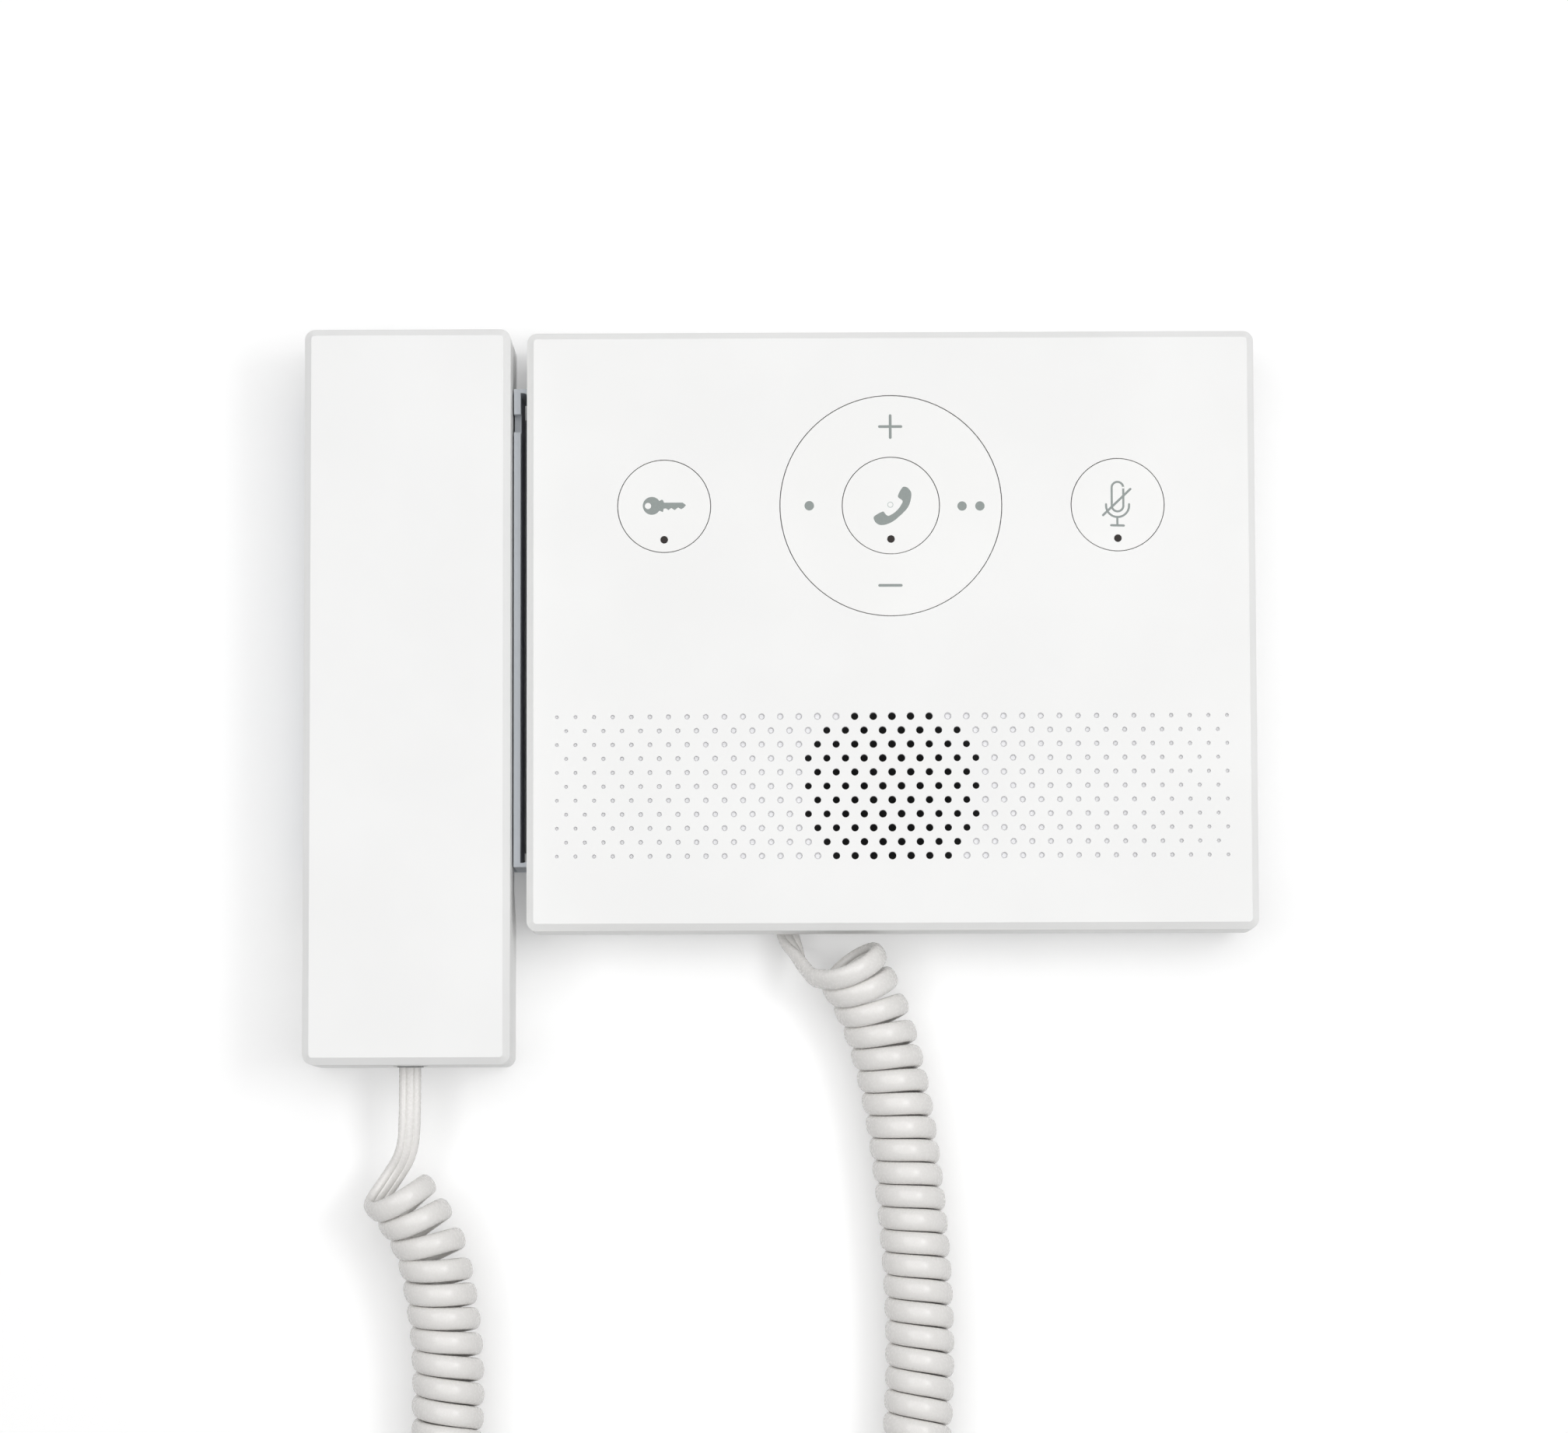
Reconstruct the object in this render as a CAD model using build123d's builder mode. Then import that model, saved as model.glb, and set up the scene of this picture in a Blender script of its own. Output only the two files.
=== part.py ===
from build123d import *
from math import cos, hypot, pi, radians, sin, sqrt, tan
import os

os.makedirs("parts", exist_ok=True)

# A wall intercom: a main unit with a speaker grille and buttons, a bar handset in a cradle at its left,
# and the curly cord between them. Lengths are in millimetres. The wall is the plane y = 0, the room is on
# its -y side and +z is up. The origin is on the wall, behind the middle of the main unit's front. A height
# is a distance from the wall, towards the room.

# Values that several pieces share
overrun = 1  # how far a cut runs past the face that it starts from
fit_gap = 0.05  # screws in their pilot holes, and lenses in their buttons
seat_gap = 0.3  # between pieces of different bodies that rest on each other

# Main unit casing
panel_width = 176
panel_height = 145
unit_depth = 30
cover_depth = 20
cover_wall = 2
rim_chamfer = 1.7
corner_radius = 2.5
housing_inset = 1.5
housing_wall = 2
housing_foot = 0.4
lip_height = 2.5
lip_gap = 0.3
lip_thickness = 1.2
floor_gap = 0.3
floor_thickness = 2

# Grille: holes right through in front of the speaker, dimples elsewhere
grille_rise = 34.65  # its middle, above the lower edge of the front
grille_rows = 11
grille_columns = 37
grille_margin = 7.36  # from the end columns to the sides of the front
grille_row_pitch = 3.36
grille_middle_hole = 1.9
grille_end_hole = 0.9
dimple_depth_share = 0.5
dimple_foot_share = 0.66
speaker_drop = 0.75
speaker_opening_radius = 21.9

# Buttons and the four-way ring
button_drop = 42.5  # from the upper edge of the front
button_inset = 33.25  # from its sides
button_hole = 22.7
ring_hole = 53.8
call_hole = 23.7
button_gap = 0.2
call_gap = 0.18
button_edge = 0.12
small_edge = 0.3
cap_thickness = 3
flange_reach = 1.7
flange_thickness = 1.2
button_travel = 0.8
post_radius = 2
guide_wall = 1.2
guide_height = 3
lens_diameter = 1.75
lens_drop = 8.15
lens_length = 11.2

# Ring and its gimbal
ring_tilt = 1.2
ring_flange_reach = 1.8
ring_flange_thickness = 1
ring_post_radius = 1.5
ring_post_span = 19.3
ring_post_gap = 0.15
axis_height = 24
trunnion_radius = 0.8
trunnion_gap = 0.05
carrier_inner = 23.2
carrier_outer = 26
carrier_thickness = 1.8
bearing_reach = 29.4
bearing_thickness = 3
bearing_width = 5
ear_thickness = 1.6
ear_width = 5

# Circuit board and what it carries
board_margin = 14
board_drop = 6.5
board_speaker_gap = 3.6
board_low = 15
board_thickness = 1.6
board_pillar_inset = 6
pillar_radius = 3
small_screw_radius = 1.1
small_head_radius = 2.2
small_head_height = 1.6
board_screw_length = 7
switch_width = 6
switch_height = 3.5
plunger_radius = 1.7
plunger_height = 0.8
led_width = 1.6
led_height = 0.7

# Case screws
case_screw_inset_x = 9.5
case_screw_inset_z = 8
case_boss_radius = 4
cover_boss_radius = 3.2
case_boss_height = 12
case_screw_radius = 1.4
case_head_radius = 2.8
case_head_height = 2
case_screw_length = 19

# Wall plate
plate_thickness = 2
plate_margin_x = 10
plate_margin_z = 12.5
tongue_inset = 4.7
cable_opening_width = 50
cable_opening_height = 42
cable_opening_drop = 11.7  # below the network socket
wall_hole_radius = 2.25
wall_hole_span_x = 100
wall_hole_span_z = 60
hook_inset = 16
hook_width = 8
hook_thickness = 2
hook_reach = 3
hook_gap = 0.4
tab_width = 14
tab_height = 7
tab_thickness = 2
tab_gap = 3
tab_slot_gap = 0.5
lock_screw_radius = 1.5
lock_head_radius = 2.6
lock_head_height = 1.2
lock_screw_height = 6.4
lock_screw_x = 30

# Speaker
speaker_size = 54
speaker_flange = 1.4
gasket_thickness = 1
gasket_outer = 26
gasket_inner = 23
basket_top = 24
basket_bottom = 15
basket_depth = 8.6
basket_wall = 1
magnet_radius = 13.5
magnet_depth = 7
cone_outer = 22.4
cone_inner = 7.5
cone_depth = 4.6
cone_thickness = 0.6
speaker_screw_span = 47
speaker_pad_radius = 3
speaker_screw_length = 4.6
wire_diameter = 1.4
wire_rise = 5
wire_inset = 5
wire_side = 8
bend_share = 0.45

# Microphone of the main unit, in a rubber boot behind the lower side wall
mic_x = 44
mic_step = 10  # in front of the seam
mic_hole_radius = 0.5
mic_radius = 3
mic_depth = 2.7
boot_wall = 1.5
boot_cover = 1

# Network socket on the back of the board, mouth down
network_width = 16
network_depth = 15.4
network_height = 11.4
network_rise = 9.7  # above the board's lower edge
network_mouth_width = 11.8
network_mouth_height = 6.8
network_mouth_depth = 13
network_shelf = 2.2

# Small cord sockets and their plugs
cord_socket_x = -25.5
cord_socket_height = 6.3
plug_width = 7.6
plug_thickness = 5.6
plug_length = 13
plug_gap = 0.3
socket_side_wall = 1.4
socket_roof = 0.9
socket_depth = 13.5
socket_back = 1.2

# Handset
handset_width = 49.7
handset_length = 177.4
handset_rise = 0.4  # above the upper edge of the main unit
handset_front = 34.5
handset_wall = 2
front_shell_depth = 16
seam_width = 0.3
grip_back = 13
ear_length = 48.9
ear_slope = 10
mouth_length = 34.5
mouth_slope = 8
ear_drop = 26.9
ear_dish_radius = 16
ear_dish_depth = 0.6
ear_hole_radius = 1
ear_hole_pitch = 4.2
mouth_rise = 16.5
mouth_hole_radius = 0.8
mouth_hole_pitch = 3
handset_screw_inset_high = 15
handset_screw_inset_low = 13
handset_screw_radius = 1.3
handset_head_radius = 2.5
handset_head_height = 1.8
handset_screw_length = 14
handset_boss_radius = 3.6
earpiece_radius = 13.5
earpiece_depth = 6.5
earpiece_gasket_width = 3
earpiece_gasket_thickness = 1
mouthpiece_radius = 4.8
mouthpiece_depth = 4.5
mouthpiece_boot_wall = 1.5
weight_width = 30
weight_gap = 3.4
weight_thickness = 6
handset_magnet_radius = 6
handset_magnet_height = 3
magnet_step = 3
handset_socket_height = 17.5

# Cradle
cradle_gap = 0.35
cradle_wall = 1.6
cradle_floor = 2
cradle_foot = 1
rim_height = 23.3
cradle_clear = 13.3  # above the mouthpiece end's thick part
cradle_left_rim = 10
cradle_drop = 12.8
cradle_side_gap = 1.8
ear_floor_gap = 0.4
notch_drop = 6.2
notch_tall = 4.4
notch_depth = 4
arm_thickness = 1
arm_fillet = 1.1
platform_gap = 6
platform_width = 40
platform_wall = 1.6
cradle_magnet_radius = 6
cradle_magnet_height = 3
reed_board_width = 14
reed_board_height = 8
reed_board_thickness = 1
reed_radius = 1.1
reed_step = 14
cradle_screw_radius = 1.3
cradle_screw_head = 2.2
cradle_screw_head_height = 1.4
cradle_screw_inset = 18.2

# Curly cord. The coil's middle line runs from below the main unit, down, round and up to the handset.
# Each point is x, height, z.
cord_diameter = 4.2
coil_radius = 6.3
coil_pitch = 5.53
coil_route = [
    (-11, 17.8, -79.8),
    (-6.5, 14, -87.2),
    (-1.9, 12.2, -99),
    (1.8, 11.5, -116),
    (5.1, 11.2, -143),
    (6.6, 11, -170),
    (5.6, 11, -195),
    (3.4, 11.2, -220),
    (-16, 11.4, -248),
    (-51.5, 11.6, -259),
    (-87, 12, -248),
    (-106.8, 12.3, -221),
    (-107.9, 12.6, -196),
    (-107.3, 13.4, -176),
    (-109.4, 14.8, -160),
    (-114, 16.8, -146),
    (-119.5, 19.2, -136),
]
unit_tail = [(-25.5, 6.3, -77.8), (-22.6, 9, -82.6)]
handset_tail = [(-116.6, 17.5, -115.6), (-117.2, 15.9, -125), (-121.4, 13.4, -131.4)]
coil_start_angle = -75
coil_end_angle = 90
coil_step = 0.5
tail_lead = 6
cord_sample = 1.5
flat_share = 0.0001
small_share = 0.01

# Heights and edges that follow from the sizes above
cover_low = unit_depth - cover_depth
cover_inside = unit_depth - cover_wall
housing_width = panel_width - 2 * housing_inset
housing_height = panel_height - 2 * housing_inset
floor_low = plate_thickness + floor_gap
floor_high = floor_low + floor_thickness
board_high = board_low + board_thickness
switch_top = board_high + switch_height + plunger_height
housing_bottom = -housing_height / 2
grille_z = grille_rise - panel_height / 2
grille_pitch = (panel_width - 2 * grille_margin) / (grille_columns - 1)
speaker_z = grille_z - speaker_drop
button_z = panel_height / 2 - button_drop
button_span = panel_width / 2 - button_inset
board_bottom = speaker_z + speaker_size / 2 + board_speaker_gap
board_width = panel_width - 2 * board_margin
board_height = panel_height / 2 - board_drop - board_bottom
board_z = board_bottom + board_height / 2
network_z = board_bottom + network_rise
cable_opening_z = network_z - cable_opening_drop
mic_floor = cover_wall - panel_height / 2
mic_height = cover_low + mic_step
plate_width = panel_width - 2 * plate_margin_x
plate_height = panel_height - 2 * plate_margin_z
cradle_high = panel_height / 2 - cradle_drop
notch_high = cradle_high - notch_drop
notch_low = notch_high - notch_tall
handset_top = panel_height / 2 + handset_rise
handset_bottom = handset_top - handset_length
handset_middle = handset_top - handset_length / 2
ear_z = handset_top - ear_drop
ear_end = handset_top - ear_length
mouth_z = handset_bottom + mouth_rise
mouth_end = handset_bottom + mouth_length
cradle_low = mouth_end + cradle_clear
cradle_middle = (cradle_low + cradle_high) / 2
cradle_length = cradle_high - cradle_low
tongue_low = cradle_low + tongue_inset
tongue_high = cradle_high - tongue_inset
grip_middle = (ear_end + mouth_end) / 2
handset_screw_z_high = ear_end - handset_screw_inset_high
handset_screw_z_low = mouth_end + handset_screw_inset_low
weight_length = handset_screw_z_high - handset_screw_z_low - 2 * (handset_boss_radius + weight_gap)
magnet_z = grip_middle + magnet_step
platform_high = ear_end - ear_slope - platform_gap
seam_height = handset_front - front_shell_depth
rear_shell_high = seam_height - seam_width
cradle_floor_high = plate_thickness + cradle_floor
ear_back = cradle_floor_high + ear_floor_gap
cradle_half = handset_width / 2 + cradle_gap + cradle_wall
handset_x = -panel_width / 2 - cradle_side_gap - cradle_half
tongue_reach = cradle_half - cradle_wall - seat_gap - handset_x
cap_low = unit_depth - cap_thickness
ring_radius = ring_hole / 2 - button_gap


def rectangle(low, high, width, tall, x=0, z=0, mode=Mode.ADD):
    """A block between two heights, its middle at x, z."""
    with BuildSketch(Plane.XZ.offset(low)) as outline:
        with Locations((x, z)):
            Rectangle(width, tall)
    extrude(outline.sketch, amount=high - low, mode=mode)


def box_between(low, high, left, right, bottom, top, mode=Mode.ADD):
    """A block between two heights, given by its edges."""
    rectangle(low, high, right - left, top - bottom, (left + right) / 2, (bottom + top) / 2, mode)


def rounded(low, high, width, tall, radius, x=0, z=0, mode=Mode.ADD):
    """A block with rounded upright corners."""
    with BuildSketch(Plane.XZ.offset(low)) as outline:
        with Locations((x, z)):
            RectangleRounded(width, tall, radius)
    extrude(outline.sketch, amount=high - low, mode=mode)


def discs(low, high, radius, places, mode=Mode.ADD):
    """Round posts or holes of one size, square to the wall."""
    with BuildSketch(Plane.XZ.offset(low)) as outline:
        with Locations(*places):
            Circle(radius)
    extrude(outline.sketch, amount=high - low, mode=mode)


def ring(low, high, outer, inner, places):
    """Round sleeves of one size, square to the wall."""
    with BuildSketch(Plane.XZ.offset(low)) as outline:
        with Locations(*places):
            Circle(outer)
            Circle(inner, mode=Mode.SUBTRACT)
    extrude(outline.sketch, amount=high - low)


def upright(bottom, top, radius, x, height, mode=Mode.ADD):
    """A round post or hole that runs up and down, its middle that far off the wall."""
    with BuildSketch(Plane.XY.offset(bottom)) as outline:
        with Locations((x, -height)):
            Circle(radius)
    extrude(outline.sketch, amount=top - bottom, mode=mode)


def turned(points, x, z, mode=Mode.ADD):
    """A turned shape: (radius, height) points swung about the line through x, z square to the wall."""
    with BuildSketch(Plane(origin=(x, 0, z), x_dir=(1, 0, 0), z_dir=(0, 0, -1))) as outline:
        with BuildLine():
            Polyline(*points, close=True)
        make_face()
    revolve(outline.sketch, axis=Axis((x, 0, z), (0, 1, 0)), mode=mode)


def corners(span_x, span_z, x=0, z=0):
    """The four corners of a rectangle about x, z."""
    return [(x + sx * span_x / 2, z + sz * span_z / 2) for sx in (-1, 1) for sz in (-1, 1)]


def save(piece, name):
    """Label a finished piece and write it."""
    piece.part.label = name
    export_step(piece.part, f"parts/{name}.step")


def chamfered_front(width, tall, low, high, x=0, z=0):
    """A shell's outside: a rounded block with a chamfer round its front."""
    rounded(low, high, width, tall, corner_radius, x, z)
    chamfer(faces().sort_by(Axis.Y)[0].edges(), length=rim_chamfer)


# Grille places: rows of 37 and 36 by turns, with a size that falls off towards both ends
grille_reach = grille_pitch * (grille_columns - 1) / 2
through_holes = []
dimples = []
for row in range(grille_rows):
    columns = grille_columns - row % 2
    for column in range(columns):
        place_x = grille_pitch * (column - (columns - 1) / 2)
        place_z = grille_z + grille_row_pitch * ((grille_rows - 1) / 2 - row)
        size = grille_middle_hole - (grille_middle_hole - grille_end_hole) * abs(place_x) / grille_reach
        near_speaker = hypot(place_x, place_z - speaker_z) < speaker_opening_radius
        (through_holes if near_speaker else dimples).append((place_x, place_z, size / 2))
print("grille holes", len(through_holes), "dimples", len(dimples))

button_places = [(-button_span, button_z), (button_span, button_z)]
case_screw_places = corners(panel_width - 2 * case_screw_inset_x, panel_height - 2 * case_screw_inset_z)
speaker_screw_places = corners(speaker_screw_span, speaker_screw_span, 0, speaker_z)
cradle_screw_places = corners(
    platform_width / 2 + cradle_half - cradle_wall, cradle_length - 2 * cradle_screw_inset,
    handset_x, cradle_middle,
)
bearing_centre = bearing_reach + bearing_thickness / 2
post_offsets = [(0, ring_post_span), (0, -ring_post_span), (ring_post_span, 0), (-ring_post_span, 0)]

# Front cover
with BuildPart() as front_cover:
    chamfered_front(panel_width, panel_height, cover_low, unit_depth)
    box_between(
        cover_low - overrun, cover_inside,
        cover_wall - panel_width / 2, panel_width / 2 - cover_wall,
        cover_wall - panel_height / 2, panel_height / 2 - cover_wall,
        Mode.SUBTRACT,
    )
    discs(case_boss_height, cover_inside, cover_boss_radius, case_screw_places)
    discs(cover_inside - gasket_thickness, cover_inside, speaker_pad_radius, speaker_screw_places)
    ring(
        cover_inside - guide_height, cover_inside,
        button_hole / 2 + flange_reach + guide_wall, button_hole / 2 + flange_reach, button_places,
    )
    for side in (-1, 1):
        rectangle(
            axis_height - bearing_width / 4, cover_inside,
            bearing_thickness, bearing_width, side * bearing_centre, button_z,
        )
    upright(
        mic_floor - fit_gap, mic_floor + boot_cover, mic_radius + boot_wall + guide_wall, mic_x, mic_height,
    )
    upright(
        mic_floor, mic_floor + boot_cover + overrun, mic_radius + boot_wall + fit_gap, mic_x, mic_height,
        Mode.SUBTRACT,
    )
    upright(
        mic_floor - cover_wall - overrun, mic_floor + overrun, mic_hole_radius, mic_x, mic_height, Mode.SUBTRACT,
    )
    with BuildSketch(Plane.YZ.offset(-bearing_centre - bearing_thickness)) as trunnion_holes:
        with Locations((-axis_height, button_z)):
            Circle(trunnion_radius + trunnion_gap)
    extrude(trunnion_holes.sketch, amount=2 * (bearing_centre + bearing_thickness), mode=Mode.SUBTRACT)
    discs(cover_low, unit_depth + overrun, button_hole / 2, button_places, Mode.SUBTRACT)
    discs(cover_inside - overrun, unit_depth + overrun, ring_hole / 2, [(0, button_z)], Mode.SUBTRACT)
    discs(
        case_boss_height - overrun, floor_low + case_screw_length + overrun,
        case_screw_radius + fit_gap, case_screw_places, Mode.SUBTRACT,
    )
    discs(
        cover_inside - gasket_thickness - overrun, cover_inside + cover_wall / 2,
        small_screw_radius + fit_gap, speaker_screw_places, Mode.SUBTRACT,
    )
    with BuildSketch(Plane.XZ.offset(cover_inside - overrun)) as openings:
        for place_x, place_z, radius in through_holes:
            with Locations((place_x, place_z)):
                Circle(radius)
    extrude(openings.sketch, amount=cover_wall + 2 * overrun, mode=Mode.SUBTRACT)
    pits = []
    for place_x, place_z, radius in dimples:
        foot = dimple_foot_share * radius
        with Locations(Location((place_x, -unit_depth, place_z), (90, 0, 0))):
            pits.append(Cone(foot, 2 * radius - foot, 4 * dimple_depth_share * radius, mode=Mode.PRIVATE))
    add(pits, mode=Mode.SUBTRACT)
save(front_cover, "front_cover")

# Rear housing
inner_width = housing_width - 2 * housing_wall
inner_height = housing_height - 2 * housing_wall
pillar_places = corners(board_width - 2 * board_pillar_inset, board_height - 2 * board_pillar_inset, 0, board_z)
hook_places = corners(plate_width - 2 * hook_inset, plate_height - 2 * hook_inset)
slot_tall = hook_thickness + hook_reach + 2 * hook_gap
with BuildPart() as rear_housing:
    rounded(housing_foot, cover_low, housing_width, housing_height, corner_radius - housing_inset / 2)
    rounded(
        cover_low - overrun, cover_low + lip_height,
        panel_width - 2 * cover_wall - 2 * lip_gap, panel_height - 2 * cover_wall - 2 * lip_gap, fit_gap,
    )
    rectangle(floor_high, cover_low + lip_height + overrun, inner_width, inner_height, mode=Mode.SUBTRACT)
    rectangle(housing_foot - overrun, floor_low, inner_width, inner_height, mode=Mode.SUBTRACT)
    box_between(
        housing_foot - overrun, floor_low, -housing_width / 2 - overrun, -inner_width / 2 + overrun,
        tongue_low - seat_gap, tongue_high + seat_gap, Mode.SUBTRACT,
    )
    discs(floor_high, board_low, pillar_radius, pillar_places)
    discs(
        board_high - board_screw_length, board_low + overrun, small_screw_radius + fit_gap,
        pillar_places, Mode.SUBTRACT,
    )
    discs(floor_low, case_boss_height, case_boss_radius, case_screw_places)
    discs(
        floor_low - overrun, case_boss_height + overrun, case_screw_radius + fit_gap,
        case_screw_places, Mode.SUBTRACT,
    )
    discs(
        floor_low - overrun, floor_low + case_head_height, case_head_radius + fit_gap,
        case_screw_places, Mode.SUBTRACT,
    )
    for place_x, place_z in hook_places:
        rectangle(
            floor_low - overrun, floor_high + overrun, hook_width + 2 * hook_gap, slot_tall,
            place_x, place_z + hook_reach / 2, Mode.SUBTRACT,
        )
    rectangle(
        floor_low - overrun, floor_high + overrun, cable_opening_width, cable_opening_height,
        0, cable_opening_z, Mode.SUBTRACT,
    )
    rectangle(
        floor_low - overrun, floor_high + overrun, tab_width + 2 * tab_slot_gap,
        tab_thickness + 2 * tab_slot_gap, lock_screw_x,
        housing_bottom + housing_wall + tab_gap + tab_thickness / 2, Mode.SUBTRACT,
    )
    box_between(
        floor_low - overrun, floor_high + overrun,
        cord_socket_x - plug_width / 2 - plug_gap - socket_side_wall - fit_gap,
        cord_socket_x + plug_width / 2 + plug_gap + socket_side_wall + fit_gap,
        -inner_height / 2, socket_depth + fit_gap - inner_height / 2, Mode.SUBTRACT,
    )
    box_between(
        cord_socket_height - plug_thickness / 2 - plug_gap, cord_socket_height + plug_thickness / 2 + plug_gap,
        cord_socket_x - plug_width / 2 - plug_gap, cord_socket_x + plug_width / 2 + plug_gap,
        housing_bottom - overrun, housing_bottom + housing_wall + overrun, Mode.SUBTRACT,
    )
    with BuildSketch(Plane.XY.offset(housing_bottom - overrun)) as lock_hole:
        with Locations((lock_screw_x, -lock_screw_height)):
            Circle(lock_screw_radius + fit_gap)
    extrude(lock_hole.sketch, amount=housing_wall + 2 * overrun, mode=Mode.SUBTRACT)
save(rear_housing, "rear_housing")

# Wall plate with its hooks and locking tab
tab_low = housing_bottom + housing_wall + tab_gap
with BuildPart() as wall_plate:
    rectangle(0, plate_thickness, plate_width, plate_height)
    box_between(0, plate_thickness, -tongue_reach, 0, tongue_low, tongue_high)
    box_between(
        0, plate_thickness, lock_screw_x - tab_width / 2, lock_screw_x + tab_width / 2, tab_low, 0,
    )
    rectangle(
        -overrun, plate_thickness + overrun, cable_opening_width, cable_opening_height,
        0, cable_opening_z, Mode.SUBTRACT,
    )
    discs(
        -overrun, plate_thickness + overrun, wall_hole_radius,
        corners(wall_hole_span_x, wall_hole_span_z), Mode.SUBTRACT,
    )
    for place_x, place_z in hook_places:
        rectangle(plate_thickness, floor_high + hook_gap, hook_width, hook_thickness, place_x, place_z)
        rectangle(
            floor_high + hook_gap, floor_high + hook_gap + hook_thickness, hook_width,
            hook_thickness + hook_reach, place_x, place_z + hook_reach / 2,
        )
    box_between(
        plate_thickness, plate_thickness + tab_height, lock_screw_x - tab_width / 2,
        lock_screw_x + tab_width / 2, tab_low, tab_low + tab_thickness,
    )
    with BuildSketch(Plane.XY.offset(tab_low - overrun)) as tab_hole:
        with Locations((lock_screw_x, -lock_screw_height)):
            Circle(lock_screw_radius + fit_gap)
    extrude(tab_hole.sketch, amount=tab_thickness + 2 * overrun, mode=Mode.SUBTRACT)
    discs(
        -overrun, plate_thickness + overrun, cradle_screw_radius + fit_gap, cradle_screw_places,
        Mode.SUBTRACT,
    )
save(wall_plate, "wall_plate")

# Locking screw, up through the housing's lower side into the plate's tab
with BuildPart() as locking_screw:
    with BuildSketch(Plane.XY.offset(housing_bottom - lock_head_height)) as lock_head:
        with Locations((lock_screw_x, -lock_screw_height)):
            Circle(lock_head_radius)
    extrude(lock_head.sketch, amount=lock_head_height)
    with BuildSketch(Plane.XY.offset(housing_bottom)) as lock_shank:
        with Locations((lock_screw_x, -lock_screw_height)):
            Circle(lock_screw_radius)
    extrude(lock_shank.sketch, amount=housing_wall + tab_gap + tab_thickness + overrun)
save(locking_screw, "locking_screw")

# Case screws, from the back through the housing into the cover
with BuildPart() as case_screws:
    discs(floor_low, floor_low + case_head_height, case_head_radius, case_screw_places)
    discs(floor_low, floor_low + case_screw_length, case_screw_radius, case_screw_places)
save(case_screws, "case_screws")

# Circuit board and its screws
with BuildPart() as circuit_board:
    rectangle(board_low, board_high, board_width, board_height, 0, board_z)
    discs(
        board_low - overrun, board_high + overrun, small_screw_radius + fit_gap, pillar_places, Mode.SUBTRACT,
    )
save(circuit_board, "circuit_board")

with BuildPart() as circuit_board_screws:
    discs(board_high, board_high + small_head_height, small_head_radius, pillar_places)
    discs(board_high - board_screw_length + fit_gap, board_high, small_screw_radius, pillar_places)
save(circuit_board_screws, "circuit_board_screws")

# Tact switches below the three buttons and the ring's four points
ring_switch_places = [(x, button_z + z) for x, z in post_offsets]
switch_places = button_places + [(0, button_z)] + ring_switch_places
with BuildPart() as tact_switches:
    for place_x, place_z in switch_places:
        rectangle(board_high, board_high + switch_height, switch_width, switch_width, place_x, place_z)
    discs(board_high + switch_height, switch_top, plunger_radius, switch_places)
save(tact_switches, "tact_switches")

# Indicator diodes below the lenses
lens_places = [(x, z - lens_drop) for x, z in button_places + [(0, button_z)]]
with BuildPart() as indicator_leds:
    for place_x, place_z in lens_places:
        rectangle(board_high, board_high + led_height, led_width, led_width, place_x, place_z)
save(indicator_leds, "indicator_leds")


# Push buttons: a cap, a flange behind the cover, a post over the switch and a bore for the lens
def push_button(name, radius, flange_radius, flange_top, x):
    """One round button at x."""
    with BuildPart() as button:
        discs(flange_top - flange_thickness, unit_depth, radius, [(x, button_z)])
        fillet(button.faces().sort_by(Axis.Y)[0].edges(), radius=button_edge)
        discs(flange_top - flange_thickness, flange_top, flange_radius, [(x, button_z)])
        discs(switch_top + button_travel + fit_gap, flange_top, post_radius, [(x, button_z)])
        discs(
            switch_top, unit_depth + overrun, lens_diameter / 2 + fit_gap, [(x, button_z - lens_drop)],
            Mode.SUBTRACT,
        )
    save(button, name + "_button")
    with BuildPart() as lens:
        discs(unit_depth - lens_length, unit_depth - fit_gap, lens_diameter / 2, [(x, button_z - lens_drop)])
    save(lens, name + "_lens")


side_button_radius = button_hole / 2 - button_gap
call_radius = call_hole / 2 - call_gap
side_flange_top = cover_inside - seat_gap
ring_drop = ring_post_span * sin(radians(ring_tilt))
call_flange_top = cap_low - ring_flange_thickness - ring_drop - seat_gap
for name, x in (("unlock", -button_span), ("mute", button_span)):
    push_button(name, side_button_radius, side_button_radius + flange_reach - fit_gap, side_flange_top, x)
push_button("call", call_radius, call_radius + flange_reach, call_flange_top, 0)

# Four-way ring: rocks left and right on the carrier's upright pins
ear_middle = carrier_outer + seat_gap + ear_thickness / 2
with BuildPart() as navigation_ring:
    discs(cap_low, unit_depth, ring_radius, [(0, button_z)])
    fillet(navigation_ring.faces().sort_by(Axis.Y)[0].edges(), radius=button_edge)
    discs(
        cap_low - ring_flange_thickness, cap_low, ring_hole / 2 + ring_flange_reach, [(0, button_z)],
    )
    discs(switch_top + ring_drop + ring_post_gap, cap_low, ring_post_radius, ring_switch_places)
    for side in (-1, 1):
        rectangle(
            axis_height - ear_width / 4, cap_low, ear_width, ear_thickness, 0, button_z + side * ear_middle,
        )
    discs(cover_low, unit_depth + overrun, call_hole / 2, [(0, button_z)], Mode.SUBTRACT)
    with BuildSketch(Plane.XY.offset(button_z - ear_middle - ear_thickness)) as ear_holes:
        with Locations((0, -axis_height)):
            Circle(trunnion_radius + trunnion_gap)
    extrude(ear_holes.sketch, amount=2 * (ear_middle + ear_thickness), mode=Mode.SUBTRACT)
save(navigation_ring, "navigation_ring")

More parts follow.
